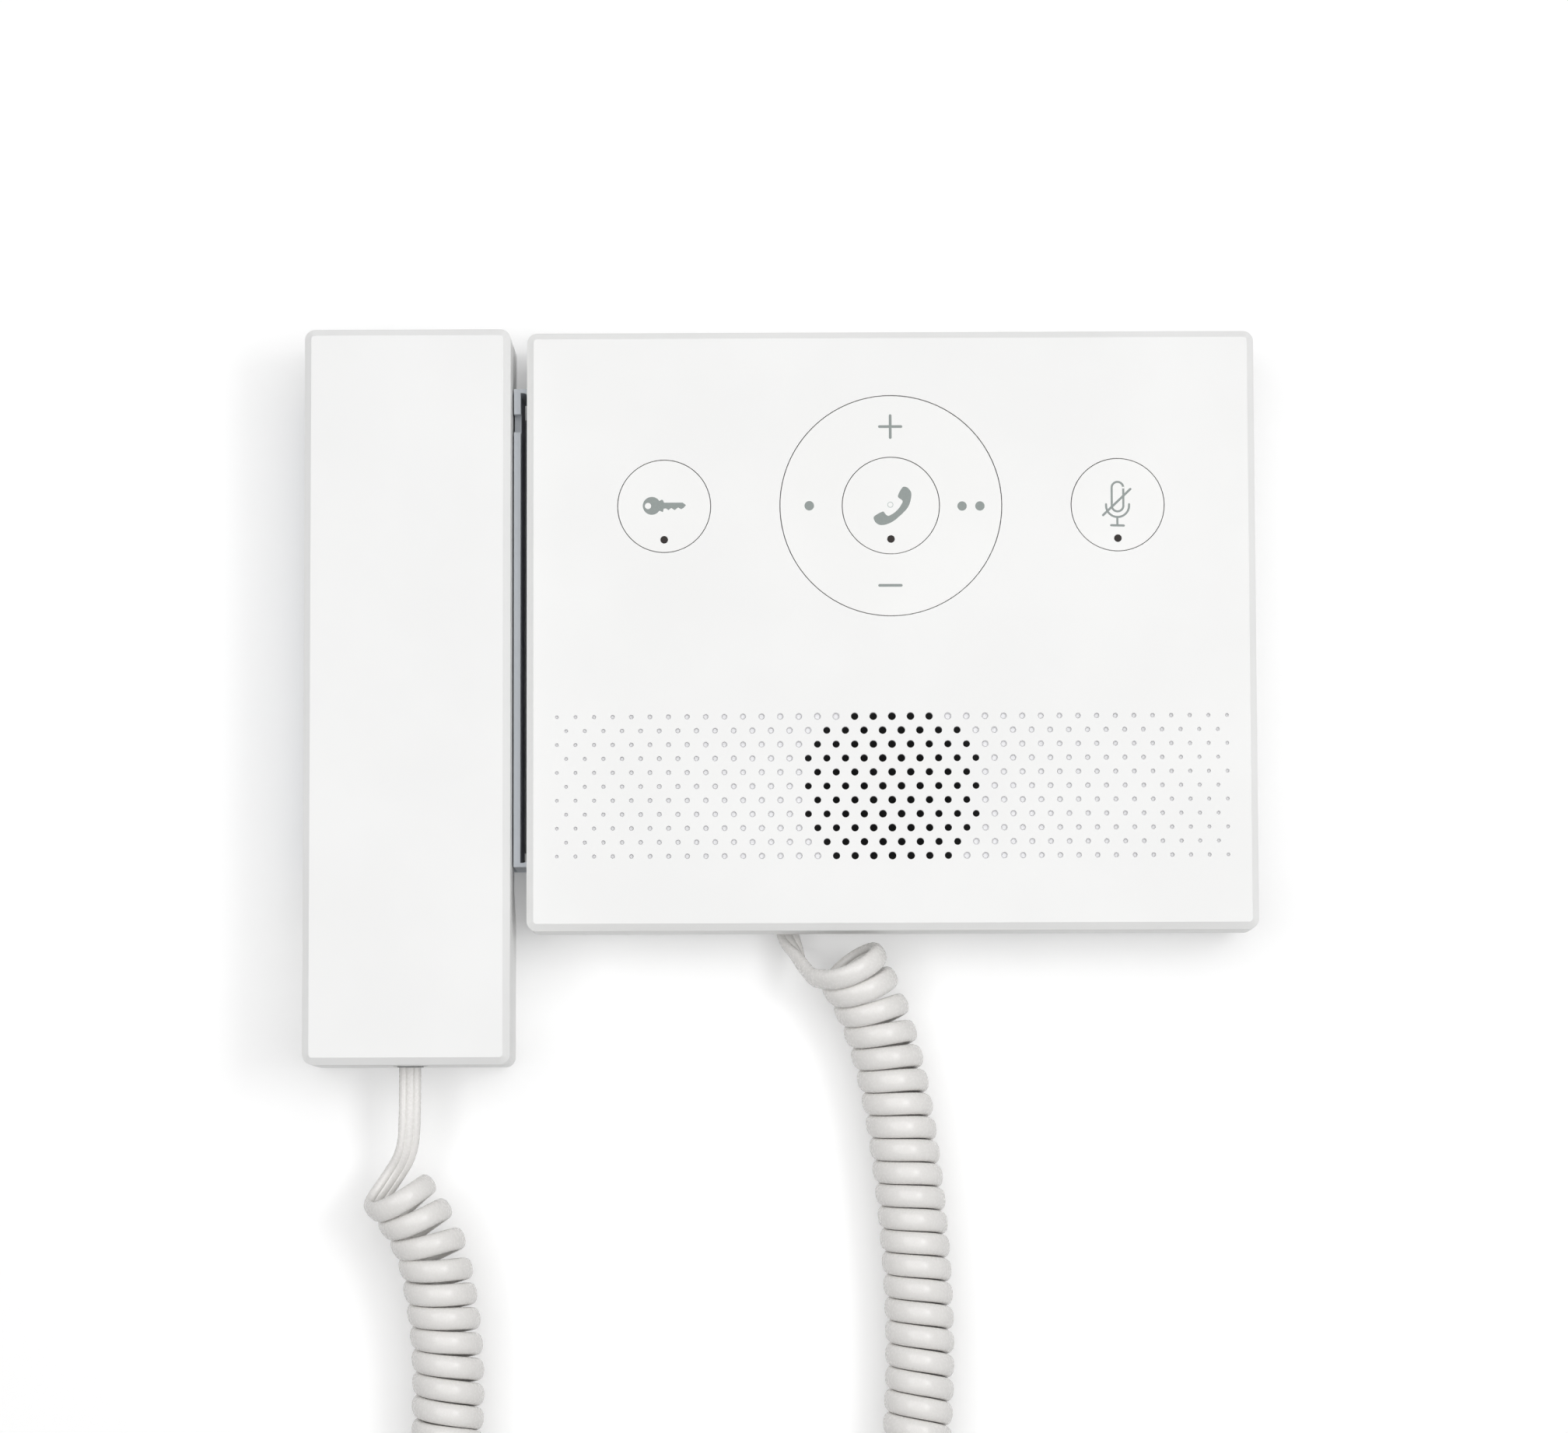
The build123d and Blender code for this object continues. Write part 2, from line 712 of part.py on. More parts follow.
# Ring carrier: rocks up and down on level pins in the cover's bearings
with BuildPart() as ring_carrier:
    ring(
        axis_height - carrier_thickness / 2, axis_height + carrier_thickness / 2,
        carrier_outer, carrier_inner, [(0, button_z)],
    )
    for side in (-1, 1):
        with BuildSketch(Plane.YZ.offset(side * (carrier_inner + carrier_outer) / 2)) as level_pin:
            with Locations((-axis_height, button_z)):
                Circle(trunnion_radius)
        extrude(
            level_pin.sketch,
            amount=side * (bearing_reach + bearing_thickness - (carrier_inner + carrier_outer) / 2),
        )
        with BuildSketch(Plane.XY.offset(button_z + side * (carrier_inner + carrier_outer) / 2)) as upright_pin:
            with Locations((0, -axis_height)):
                Circle(trunnion_radius)
        extrude(
            upright_pin.sketch,
            amount=side * (ear_middle + ear_thickness / 2 - (carrier_inner + carrier_outer) / 2),
        )
save(ring_carrier, "ring_carrier")

# Speaker
frame_high = cover_inside - gasket_thickness
frame_low = frame_high - speaker_flange
basket_low = frame_low - basket_depth
with BuildPart() as speaker_gasket:
    ring(frame_high, cover_inside, gasket_outer, gasket_inner, [(0, speaker_z)])
save(speaker_gasket, "speaker_gasket")

with BuildPart() as speaker_frame:
    rounded(frame_low, frame_high, speaker_size, speaker_size, corner_radius, 0, speaker_z)
    turned(
        [(0, basket_low), (basket_bottom, basket_low), (basket_top, frame_low + overrun), (0, frame_low + overrun)],
        0, speaker_z,
    )
    turned(
        [
            (0, basket_low + basket_wall), (basket_bottom - basket_wall, basket_low + basket_wall),
            (basket_top - basket_wall, frame_low), (basket_top - basket_wall, frame_high + overrun),
            (0, frame_high + overrun),
        ],
        0, speaker_z, Mode.SUBTRACT,
    )
    discs(frame_low - overrun, frame_high + overrun, small_screw_radius + fit_gap, speaker_screw_places,
          Mode.SUBTRACT)
save(speaker_frame, "speaker_frame")

with BuildPart() as speaker_cone:
    cone_low = frame_high - cone_depth
    turned(
        [
            (0, cone_low), (cone_inner, cone_low), (cone_outer - cone_thickness, frame_high - 2 * cone_thickness),
            (cone_outer, frame_high - 2 * cone_thickness), (cone_outer, frame_high - cone_thickness),
            (cone_outer - 2 * cone_thickness, frame_high - cone_thickness),
            (cone_inner, cone_low + cone_thickness), (0, cone_low + cone_thickness),
        ],
        0, speaker_z,
    )
    ring(
        basket_low + basket_wall + seat_gap, cone_low + cone_thickness / 2,
        cone_inner, cone_inner - cone_thickness, [(0, speaker_z)],
    )
save(speaker_cone, "speaker_cone")

with BuildPart() as speaker_magnet:
    discs(basket_low - magnet_depth, basket_low, magnet_radius, [(0, speaker_z)])
    fillet(speaker_magnet.faces().sort_by(Axis.Y)[-1].edges(), radius=small_edge)
save(speaker_magnet, "speaker_magnet")

with BuildPart() as speaker_screws:
    discs(frame_low - small_head_height, frame_low, small_head_radius, speaker_screw_places)
    discs(
        frame_low - small_head_height, frame_low - small_head_height + speaker_screw_length,
        small_screw_radius, speaker_screw_places,
    )
save(speaker_screws, "speaker_screws")

# Microphone of the main unit
with BuildPart() as microphone_boot:
    upright(mic_floor, mic_floor + boot_cover + mic_depth, mic_radius + boot_wall, mic_x, mic_height)
    upright(
        mic_floor + boot_cover, mic_floor + boot_cover + mic_depth + overrun, mic_radius, mic_x, mic_height,
        Mode.SUBTRACT,
    )
    upright(
        mic_floor - overrun, mic_floor + boot_cover + overrun, mic_hole_radius, mic_x, mic_height, Mode.SUBTRACT,
    )
save(microphone_boot, "microphone_boot")

with BuildPart() as unit_microphone:
    upright(
        mic_floor + boot_cover, mic_floor + boot_cover + mic_depth, mic_radius - fit_gap, mic_x, mic_height,
    )
save(unit_microphone, "unit_microphone")

# Network socket
with BuildPart() as network_socket:
    rectangle(board_low - network_height, board_low, network_width, network_depth, 0, network_z)
    socket_mouth_z = network_z - network_depth / 2
    box_between(
        board_low - network_shelf - network_mouth_height, board_low - network_shelf,
        -network_mouth_width / 2, network_mouth_width / 2,
        socket_mouth_z - overrun, socket_mouth_z + network_mouth_depth, Mode.SUBTRACT,
    )
save(network_socket, "network_socket")


# Small cord sockets with their plugs
def cord_fitting(name, x, height, inside, outside, plug_end):
    """A socket whose mouth is at z = inside, and the plug that stands in it down to z = plug_end."""
    opening_width = plug_width + 2 * plug_gap
    opening_height = plug_thickness + 2 * plug_gap
    with BuildPart() as socket:
        box_between(
            height - opening_height / 2 - socket_roof, height + opening_height / 2 + socket_roof,
            x - opening_width / 2 - socket_side_wall, x + opening_width / 2 + socket_side_wall,
            inside, inside + socket_depth,
        )
        box_between(
            height - opening_height / 2, height + opening_height / 2,
            x - opening_width / 2, x + opening_width / 2,
            inside - overrun, inside + socket_depth - socket_back, Mode.SUBTRACT,
        )
    save(socket, name + "_cord_socket")
    with BuildPart() as plug:
        box_between(
            height - plug_thickness / 2, height + plug_thickness / 2,
            x - plug_width / 2, x + plug_width / 2, plug_end, outside + plug_length,
        )
        chamfer(plug.faces().sort_by(Axis.Z)[-1].edges(), length=small_edge)
    save(plug, name + "_cord_plug")


unit_plug_end = housing_bottom - seat_gap
handset_plug_end = handset_bottom - seat_gap
cord_fitting(
    "base", cord_socket_x, cord_socket_height, housing_bottom + housing_wall, housing_bottom, unit_plug_end,
)
cord_fitting(
    "handset", handset_x, handset_socket_height, handset_bottom + handset_wall, handset_bottom,
    handset_plug_end,
)

# Handset shells
inner_handset = handset_width - 2 * handset_wall
plug_opening = (
    handset_socket_height - plug_thickness / 2 - plug_gap,
    handset_socket_height + plug_thickness / 2 + plug_gap,
    handset_x - plug_width / 2 - plug_gap, handset_x + plug_width / 2 + plug_gap,
    handset_bottom - overrun, handset_bottom + handset_wall + overrun,
)
handset_screw_places = [(handset_x, handset_screw_z_high), (handset_x, handset_screw_z_low)]
with BuildPart() as handset_front_shell:
    chamfered_front(handset_width, handset_length, seam_height, handset_front, handset_x, handset_middle)
    rectangle(
        seam_height - overrun, handset_front - handset_wall, inner_handset, handset_length - 2 * handset_wall,
        handset_x, handset_middle, Mode.SUBTRACT,
    )
    discs(seam_height, handset_front - handset_wall, handset_boss_radius, handset_screw_places)
    discs(
        seam_height - overrun, grip_back + handset_head_height + handset_screw_length,
        handset_screw_radius + fit_gap, handset_screw_places, Mode.SUBTRACT,
    )
    box_between(*plug_opening, Mode.SUBTRACT)
save(handset_front_shell, "handset_front_shell")


def shell_side(inward, top):
    """The rear shell's outline seen from the side: z and height, moved inward by a wall."""
    step = inward * tan(radians(22.5))
    with BuildSketch(Plane.YZ.offset(handset_x - handset_width / 2 + inward)) as outline:
        with BuildLine():
            Polyline(
                (-top, handset_top - inward),
                (-ear_back - inward, handset_top - inward),
                (-ear_back - inward, ear_end + step),
                (-grip_back - inward, ear_end - ear_slope + step),
                (-grip_back - inward, mouth_end + mouth_slope - step),
                (-ear_back - inward, mouth_end - step),
                (-ear_back - inward, handset_bottom + inward),
                (-top, handset_bottom + inward),
                close=True,
            )
        make_face()
    return outline.sketch


ear_hole_places = [(handset_x, ear_z)] + [
    (handset_x + turn * ear_hole_pitch * cos(2 * pi * step / (6 * turn)),
     ear_z + turn * ear_hole_pitch * sin(2 * pi * step / (6 * turn)))
    for turn in (1, 2) for step in range(6 * turn)
]
mouth_hole_places = [(handset_x, mouth_z)] + [
    (handset_x + mouth_hole_pitch * cos(pi * step / 3), mouth_z + mouth_hole_pitch * sin(pi * step / 3))
    for step in range(6)
]
ear_inside = ear_back + handset_wall
grip_inside = grip_back + handset_wall
with BuildPart() as handset_rear_shell:
    extrude(shell_side(0, rear_shell_high), amount=handset_width)
    rounded(
        ear_back - overrun, rear_shell_high, handset_width, handset_length, corner_radius,
        handset_x, handset_middle, Mode.INTERSECT,
    )
    extrude(
        shell_side(handset_wall, rear_shell_high + overrun), amount=inner_handset, mode=Mode.SUBTRACT,
    )
    for outside, lip_low, lip_high in (
        (0, rear_shell_high - lip_thickness, rear_shell_high),
        (lip_gap, rear_shell_high, rear_shell_high + lip_height),
    ):
        with BuildSketch(Plane.XZ.offset(lip_low)) as lip:
            with Locations((handset_x, handset_middle)):
                Rectangle(inner_handset - 2 * outside, handset_length - 2 * handset_wall - 2 * outside)
                Rectangle(
                    inner_handset - 2 * lip_gap - 2 * lip_thickness,
                    handset_length - 2 * handset_wall - 2 * lip_gap - 2 * lip_thickness, mode=Mode.SUBTRACT,
                )
        extrude(lip.sketch, amount=lip_high - lip_low)
    discs(grip_back, rear_shell_high, handset_boss_radius, handset_screw_places)
    discs(
        grip_back - overrun, rear_shell_high + overrun, handset_screw_radius + fit_gap,
        handset_screw_places, Mode.SUBTRACT,
    )
    discs(
        grip_back - overrun, grip_back + handset_head_height, handset_head_radius + fit_gap,
        handset_screw_places, Mode.SUBTRACT,
    )
    ring(
        ear_inside, ear_inside + earpiece_depth, earpiece_radius + fit_gap + lip_thickness,
        earpiece_radius + fit_gap, [(handset_x, ear_z)],
    )
    ring(
        ear_inside, ear_inside + mouthpiece_depth,
        mouthpiece_radius + mouthpiece_boot_wall + fit_gap + lip_thickness,
        mouthpiece_radius + mouthpiece_boot_wall + fit_gap, [(handset_x, mouth_z)],
    )
    discs(ear_back - overrun, ear_back + ear_dish_depth, ear_dish_radius, [(handset_x, ear_z)], Mode.SUBTRACT)
    discs(ear_back - overrun, ear_inside + overrun, ear_hole_radius, ear_hole_places, Mode.SUBTRACT)
    discs(ear_back - overrun, ear_inside + overrun, mouth_hole_radius, mouth_hole_places, Mode.SUBTRACT)
    box_between(*plug_opening, Mode.SUBTRACT)
    box_between(
        rear_shell_high - lip_thickness - overrun, rear_shell_high + lip_height + overrun,
        handset_x - plug_width, handset_x + plug_width,
        handset_bottom + handset_wall, handset_bottom + handset_wall + socket_depth, Mode.SUBTRACT,
    )
save(handset_rear_shell, "handset_rear_shell")

with BuildPart() as handset_screws:
    discs(grip_back, grip_back + handset_head_height, handset_head_radius, handset_screw_places)
    discs(grip_back, grip_back + handset_screw_length, handset_screw_radius, handset_screw_places)
save(handset_screws, "handset_screws")

# What the handset holds: earpiece, microphone, weight and magnet
with BuildPart() as earpiece_gasket:
    ring(
        ear_inside, ear_inside + earpiece_gasket_thickness, earpiece_radius,
        earpiece_radius - earpiece_gasket_width, [(handset_x, ear_z)],
    )
save(earpiece_gasket, "earpiece_gasket")

with BuildPart() as earpiece_speaker:
    discs(
        ear_inside + earpiece_gasket_thickness, ear_inside + earpiece_gasket_thickness + earpiece_depth,
        earpiece_radius, [(handset_x, ear_z)],
    )
    chamfer(earpiece_speaker.faces().sort_by(Axis.Y)[0].edges(), length=earpiece_gasket_thickness)
save(earpiece_speaker, "earpiece_speaker")

with BuildPart() as mouthpiece_boot:
    discs(
        ear_inside, ear_inside + mouthpiece_depth + boot_cover, mouthpiece_radius + mouthpiece_boot_wall,
        [(handset_x, mouth_z)],
    )
    discs(
        ear_inside + boot_cover, ear_inside + mouthpiece_depth + boot_cover + overrun, mouthpiece_radius,
        [(handset_x, mouth_z)], Mode.SUBTRACT,
    )
    discs(
        ear_inside - overrun, ear_inside + boot_cover + overrun, mouth_hole_radius, mouth_hole_places,
        Mode.SUBTRACT,
    )
save(mouthpiece_boot, "mouthpiece_boot")

with BuildPart() as mouthpiece_microphone:
    discs(
        ear_inside + boot_cover, ear_inside + boot_cover + mouthpiece_depth, mouthpiece_radius - fit_gap,
        [(handset_x, mouth_z)],
    )
save(mouthpiece_microphone, "mouthpiece_microphone")

weight_high = handset_front - handset_wall
with BuildPart() as handset_weight:
    rectangle(
        weight_high - weight_thickness, weight_high, weight_width, weight_length, handset_x, grip_middle,
    )
save(handset_weight, "handset_weight")

with BuildPart() as handset_magnet:
    discs(
        grip_inside, grip_inside + handset_magnet_height, handset_magnet_radius, [(handset_x, magnet_z)],
    )
save(handset_magnet, "handset_magnet")

# Cradle: a trough with a raised platform below the grip, and two arms that reach the main unit
cradle_left = handset_x - cradle_half
cradle_right = handset_x + cradle_half
platform_top = grip_back - seat_gap
platform_under = platform_top - platform_wall
arm_reach = cradle_side_gap


def cradle_arm(end, inward):
    """An arm at one end of the cradle, rounded where the slot beside it meets the main unit."""
    with BuildSketch(Plane.XZ.offset(cradle_foot)) as outline:
        with Locations((cradle_right + arm_reach / 2, end + inward * (arm_thickness + arm_fillet) / 2)):
            Rectangle(arm_reach, arm_thickness + arm_fillet)
        with Locations((cradle_right + arm_reach - arm_fillet, end + inward * (arm_thickness + arm_fillet))):
            Circle(arm_fillet, mode=Mode.SUBTRACT)
        with Locations((
            cradle_right + (arm_reach - arm_fillet) / 2, end + inward * (arm_thickness + arm_fillet / 2),
        )):
            Rectangle(arm_reach - arm_fillet, arm_fillet, mode=Mode.SUBTRACT)
    extrude(outline.sketch, amount=rim_height - cradle_foot)


with BuildPart() as handset_cradle:
    box_between(cradle_foot, rim_height, cradle_left, cradle_right, cradle_low, cradle_high)
    rectangle(
        cradle_floor_high, rim_height + overrun, 2 * (cradle_half - cradle_wall), cradle_length + 2 * overrun,
        handset_x, cradle_middle, Mode.SUBTRACT,
    )
    rectangle(
        cradle_foot - overrun, plate_thickness, 2 * (cradle_half - cradle_wall),
        cradle_length - 2 * cradle_wall, handset_x, cradle_middle, Mode.SUBTRACT,
    )
    box_between(
        cradle_foot - overrun, plate_thickness, handset_x, cradle_right + overrun,
        tongue_low - seat_gap, tongue_high + seat_gap, Mode.SUBTRACT,
    )
    box_between(
        cradle_floor_high - overrun, platform_top, handset_x - platform_width / 2,
        handset_x + platform_width / 2, cradle_low, platform_high,
    )
    box_between(
        cradle_foot - overrun, platform_under, handset_x - platform_width / 2 + platform_wall,
        handset_x + platform_width / 2 - platform_wall, cradle_low + cradle_wall,
        platform_high - platform_wall, Mode.SUBTRACT,
    )
    box_between(
        rim_height - notch_depth, rim_height + overrun, cradle_left - overrun, cradle_right + overrun,
        notch_low, notch_high, Mode.SUBTRACT,
    )
    box_between(
        cradle_left_rim, rim_height + overrun, cradle_left - overrun, cradle_left + cradle_wall + fit_gap,
        cradle_low - overrun, cradle_high + overrun, Mode.SUBTRACT,
    )
    cradle_arm(cradle_low, 1)
    cradle_arm(cradle_high, -1)
    discs(
        plate_thickness - overrun, cradle_floor_high + overrun, cradle_screw_radius + fit_gap,
        cradle_screw_places, Mode.SUBTRACT,
    )
    discs(
        cradle_floor_high - cradle_screw_head_height, cradle_floor_high + overrun,
        cradle_screw_head + fit_gap, cradle_screw_places, Mode.SUBTRACT,
    )
save(handset_cradle, "handset_cradle")

with BuildPart() as cradle_screws:
    discs(
        cradle_floor_high - cradle_screw_head_height, cradle_floor_high, cradle_screw_head, cradle_screw_places,
    )
    discs(0, cradle_floor_high, cradle_screw_radius, cradle_screw_places)
save(cradle_screws, "cradle_screws")

with BuildPart() as cradle_magnet:
    discs(
        platform_under - cradle_magnet_height, platform_under, cradle_magnet_radius,
        [(handset_x, magnet_z)],
    )
save(cradle_magnet, "cradle_magnet")

with BuildPart() as hook_switch:
    reed_z = magnet_z - reed_step
    rectangle(
        platform_under - reed_board_thickness, platform_under, reed_board_width, reed_board_height,
        handset_x, reed_z,
    )
    with BuildSketch(Plane.YZ.offset(handset_x - reed_board_width / 2)) as reed:
        with Locations((reed_radius + reed_board_thickness - platform_under, reed_z)):
            Circle(reed_radius)
    extrude(reed.sketch, amount=reed_board_width)
save(hook_switch, "hook_switch")


# Wires and the curly cord
def point(place):
    """A point of the model from x, height and z."""
    x, height, z = place
    return Vector(x, -height, z)


def bend_radii(points):
    """The radius of each corner: as large as the two runs beside it allow."""
    radii = []
    for before, corner, after in zip(points, points[1:], points[2:]):
        shorter = min((corner - before).length, (after - corner).length)
        turn = radians((corner - before).get_angle(after - corner))
        radii.append(bend_share * shorter / tan(turn / 2))
    return radii


def wire(points, diameter):
    """A round wire through points, its corners rounded."""
    with BuildLine() as route:
        FilletPolyline(*points, radius=bend_radii(points))
    with BuildSketch(Plane(origin=route.line @ 0, z_dir=route.line % 0)) as section:
        Circle(diameter / 2)
    sweep(section.sketch, path=route.line)


speaker_wire_x = speaker_screw_span / 2 - small_head_radius - wire_diameter
speaker_wire_z = speaker_z + speaker_size / 2 - wire_diameter
board_edge_z = board_z - board_height / 2
with BuildPart() as speaker_leads:
    for side in (-1, 1):
        wire_x = side * speaker_wire_x
        wire(
            [
                point((wire_x, frame_low, speaker_wire_z)),
                point((wire_x, frame_low - wire_rise, speaker_wire_z)),
                point((wire_x, frame_low - wire_rise, board_edge_z + wire_inset)),
                point((wire_x, board_high, board_edge_z + wire_inset)),
            ],
            wire_diameter,
        )
save(speaker_leads, "speaker_leads")

socket_end = housing_bottom + housing_wall + socket_depth
with BuildPart() as cord_leads:
    wire(
        [
            point((cord_socket_x, cord_socket_height, socket_end)),
            point((cord_socket_x, cord_socket_height, socket_end + wire_rise)),
            point((cord_socket_x - wire_side, cord_socket_height + wire_side, board_edge_z - wire_rise)),
            point((cord_socket_x - wire_side, cord_socket_height + wire_side / 2, board_edge_z + wire_inset)),
            point((cord_socket_x - wire_side, board_low, board_edge_z + wire_inset)),
        ],
        wire_diameter,
    )
save(cord_leads, "cord_leads")

handset_socket_end = handset_bottom + handset_wall + socket_depth
weight_side = handset_x + weight_width / 2 + wire_side / 2
earpiece_back = ear_inside + earpiece_gasket_thickness + earpiece_depth
with BuildPart() as handset_leads:
    wire(
        [
            point((handset_x, handset_socket_height, handset_socket_end)),
            point((handset_x, handset_socket_height, handset_socket_end + wire_rise)),
            point((weight_side, handset_socket_height + wire_side / 2, handset_screw_z_low - wire_rise)),
            point((weight_side, handset_socket_height + wire_side, grip_middle)),
            point((weight_side, handset_socket_height + wire_side / 2, handset_screw_z_high + wire_rise)),
            point((handset_x + wire_side, earpiece_back + wire_rise, ear_z - wire_side)),
            point((handset_x + wire_side / 2, earpiece_back + wire_rise, ear_z)),
            point((handset_x + wire_side / 2, earpiece_back, ear_z)),
        ],
        wire_diameter,
    )
save(handset_leads, "handset_leads")


def biarc(start, start_way, end, end_way):
    """The meeting point of two tangent arcs between two points with given directions, and its direction."""
    chord = end - start
    both = start_way + end_way
    spread = 2 * (1 - start_way.dot(end_way))
    along = chord.dot(both)
    if spread < flat_share:
        reach = chord.dot(chord) / (4 * chord.dot(end_way))
    else:
        reach = (sqrt(along * along + spread * chord.dot(chord)) - along) / spread
    first = start + start_way * reach
    second = end - end_way * reach
    return (first + second) / 2, (second - first).normalized()


# The coil's middle line, followed in equal steps
route_points = [point(place) for place in coil_route]
route_radii = bend_radii(route_points)
with BuildLine() as middle_line:
    FilletPolyline(*route_points, radius=route_radii)
middle = middle_line.wires()[0]
steps = round(middle.length / coil_step)
step_length = middle.length / steps
centres = [middle.position_at(index / steps) for index in range(steps + 1)]
ways = [middle.tangent_at(index / steps) for index in range(steps + 1)]

# The coil turns faster where the line is straight: on a bend its inner side keeps the pitch
turned_by = [0]
for way, next_way in zip(ways, ways[1:]):
    bend = radians(way.get_angle(next_way)) / step_length
    turned_by.append(turned_by[-1] + step_length * (1 - coil_radius * bend) / coil_pitch)
end_share = (coil_end_angle - coil_start_angle) / 360
curls = round(turned_by[-1] - end_share) + end_share


def coil_point(share):
    """A point of the helix, by its share of all the turns."""
    wanted = share * turned_by[-1]
    index = 0
    low, high = 0, steps
    while high - low > 1:
        index = (low + high) // 2
        low, high = (index, high) if turned_by[index] <= wanted else (low, index)
    part = (wanted - turned_by[low]) / (turned_by[high] - turned_by[low])
    centre = centres[low] + (centres[high] - centres[low]) * part
    way = (ways[low] + (ways[high] - ways[low]) * part).normalized()
    front = (Vector(0, -1, 0) - way * way.dot(Vector(0, -1, 0))).normalized()
    side = front.cross(way)
    angle = radians(coil_start_angle) + 2 * pi * curls * share
    return centre + (front * cos(angle) + side * sin(angle)) * coil_radius


def coil_way(share):
    """The helix's direction there."""
    small = small_share / curls
    return (coil_point(min(share + small, 1)) - coil_point(max(share - small, 0))).normalized()


half_turns = round(2 * curls)
coil_points = [coil_point(index / half_turns) for index in range(half_turns + 1)]
coil_ways = [coil_way(index / half_turns) for index in range(half_turns + 1)]
unit_exit = Vector(cord_socket_x, -cord_socket_height, unit_plug_end)
handset_exit = Vector(handset_x, -handset_socket_height, handset_plug_end)
unit_tail_points = [
    unit_exit, *[point(place) for place in unit_tail],
    coil_points[0] - coil_ways[0] * tail_lead, coil_points[0],
]
handset_tail_points = [
    coil_points[-1], coil_points[-1] + coil_ways[-1] * tail_lead,
    *[point(place) for place in reversed(handset_tail)], handset_exit,
]
print("cord tail radii", [round(value, 1) for value in bend_radii(unit_tail_points)],
      [round(value, 1) for value in bend_radii(handset_tail_points)])
print("coil route radii", [round(value, 1) for value in route_radii], "curls", round(curls, 2))
with BuildPart() as curly_cord:
    with BuildLine() as cord_line:
        FilletPolyline(*unit_tail_points, radius=bend_radii(unit_tail_points))
        for start, start_way, end, end_way in zip(coil_points, coil_ways, coil_points[1:], coil_ways[1:]):
            between, between_way = biarc(start, start_way, end, end_way)
            TangentArc(start, between, tangent=start_way)
            TangentArc(between, end, tangent=between_way)
        FilletPolyline(*handset_tail_points, radius=bend_radii(handset_tail_points))
    cord_wire = cord_line.wires()[0]
    with BuildSketch(Plane(origin=unit_exit, z_dir=Vector(0, 0, -1))) as cord_section:
        Circle(cord_diameter / 2)
    sweep(cord_section.sketch, path=cord_wire)
save(curly_cord, "curly_cord")

# The cord's length, its volume against its section, and its least gap to itself
samples = round(cord_wire.length / cord_sample)
places = [cord_wire.position_at(index / samples) for index in range(samples + 1)]
apart = round(2 * pi * coil_radius / 2 / cord_sample)
least = min(
    (places[first] - places[second]).length
    for first in range(len(places))
    for second in range(first + apart, min(first + 8 * apart, len(places)))
)
print("cord length", round(cord_wire.length, 1), "sides", len(cord_line.edges()))
print("volume share", round(curly_cord.part.volume / (pi * cord_diameter**2 / 4 * cord_wire.length), 4))
print("least gap of the cord to itself", round(least - cord_diameter, 2))
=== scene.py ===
"""Audio door intercom with a cradle, a handset and a curly cord.

Adds finishes, small parts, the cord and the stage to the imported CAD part.
Everything is in metres in the CAD frame: the wall is y = 0, the room is towards -y and z is up.
"""

from math import cos, pi, radians, sin

import bmesh
import bpy
import numpy as np
from bpy.props import FloatProperty, FloatVectorProperty, IntProperty, PointerProperty
from mathutils import Matrix, Vector


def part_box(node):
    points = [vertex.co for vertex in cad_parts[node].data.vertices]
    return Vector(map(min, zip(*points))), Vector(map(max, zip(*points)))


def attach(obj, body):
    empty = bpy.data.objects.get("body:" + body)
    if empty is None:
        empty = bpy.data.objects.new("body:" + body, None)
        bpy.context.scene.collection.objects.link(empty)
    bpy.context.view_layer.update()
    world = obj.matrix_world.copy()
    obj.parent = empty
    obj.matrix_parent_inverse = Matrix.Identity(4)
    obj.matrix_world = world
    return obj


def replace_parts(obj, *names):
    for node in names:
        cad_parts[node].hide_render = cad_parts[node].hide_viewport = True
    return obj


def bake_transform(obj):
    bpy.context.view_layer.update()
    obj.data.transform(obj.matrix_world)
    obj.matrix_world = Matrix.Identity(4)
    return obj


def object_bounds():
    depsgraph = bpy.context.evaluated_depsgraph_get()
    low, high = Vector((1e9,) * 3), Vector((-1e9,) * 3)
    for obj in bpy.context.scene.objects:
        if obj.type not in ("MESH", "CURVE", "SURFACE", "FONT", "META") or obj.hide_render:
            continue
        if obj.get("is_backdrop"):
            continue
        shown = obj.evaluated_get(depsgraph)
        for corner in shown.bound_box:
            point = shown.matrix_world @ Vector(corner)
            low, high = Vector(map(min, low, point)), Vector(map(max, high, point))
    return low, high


bl_info = {
    "name": "Audio intercom",
    "version": (1, 0, 0),
    "blender": (4, 5, 0),
    "location": "View3D > Sidebar > Intercom",
    "description": "Finishes, fittings, curly cord and stage for a wall intercom with a handset",
    "category": "Object",
}

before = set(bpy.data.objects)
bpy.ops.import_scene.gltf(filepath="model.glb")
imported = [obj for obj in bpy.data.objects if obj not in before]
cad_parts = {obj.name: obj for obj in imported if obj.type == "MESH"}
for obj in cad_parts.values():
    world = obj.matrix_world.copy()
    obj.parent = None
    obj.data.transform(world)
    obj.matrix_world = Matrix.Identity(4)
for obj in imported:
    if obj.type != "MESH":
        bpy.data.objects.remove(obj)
cad_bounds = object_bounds()
mm = 0.001

# The grille's place on the front
grille_half_width, grille_top, grille_bottom = 0.084, -0.016, -0.06


# Settings


def colour_setting(name, default, about):
    """A colour that the user may change."""
    return FloatVectorProperty(
        name=name, description=about, default=default, subtype="COLOR", size=3, min=0, max=1
    )


def size_setting(name, default, about):
    """A size in metres that the user may change."""
    return FloatProperty(name=name, description=about, default=default, unit="LENGTH", min=0, precision=5)


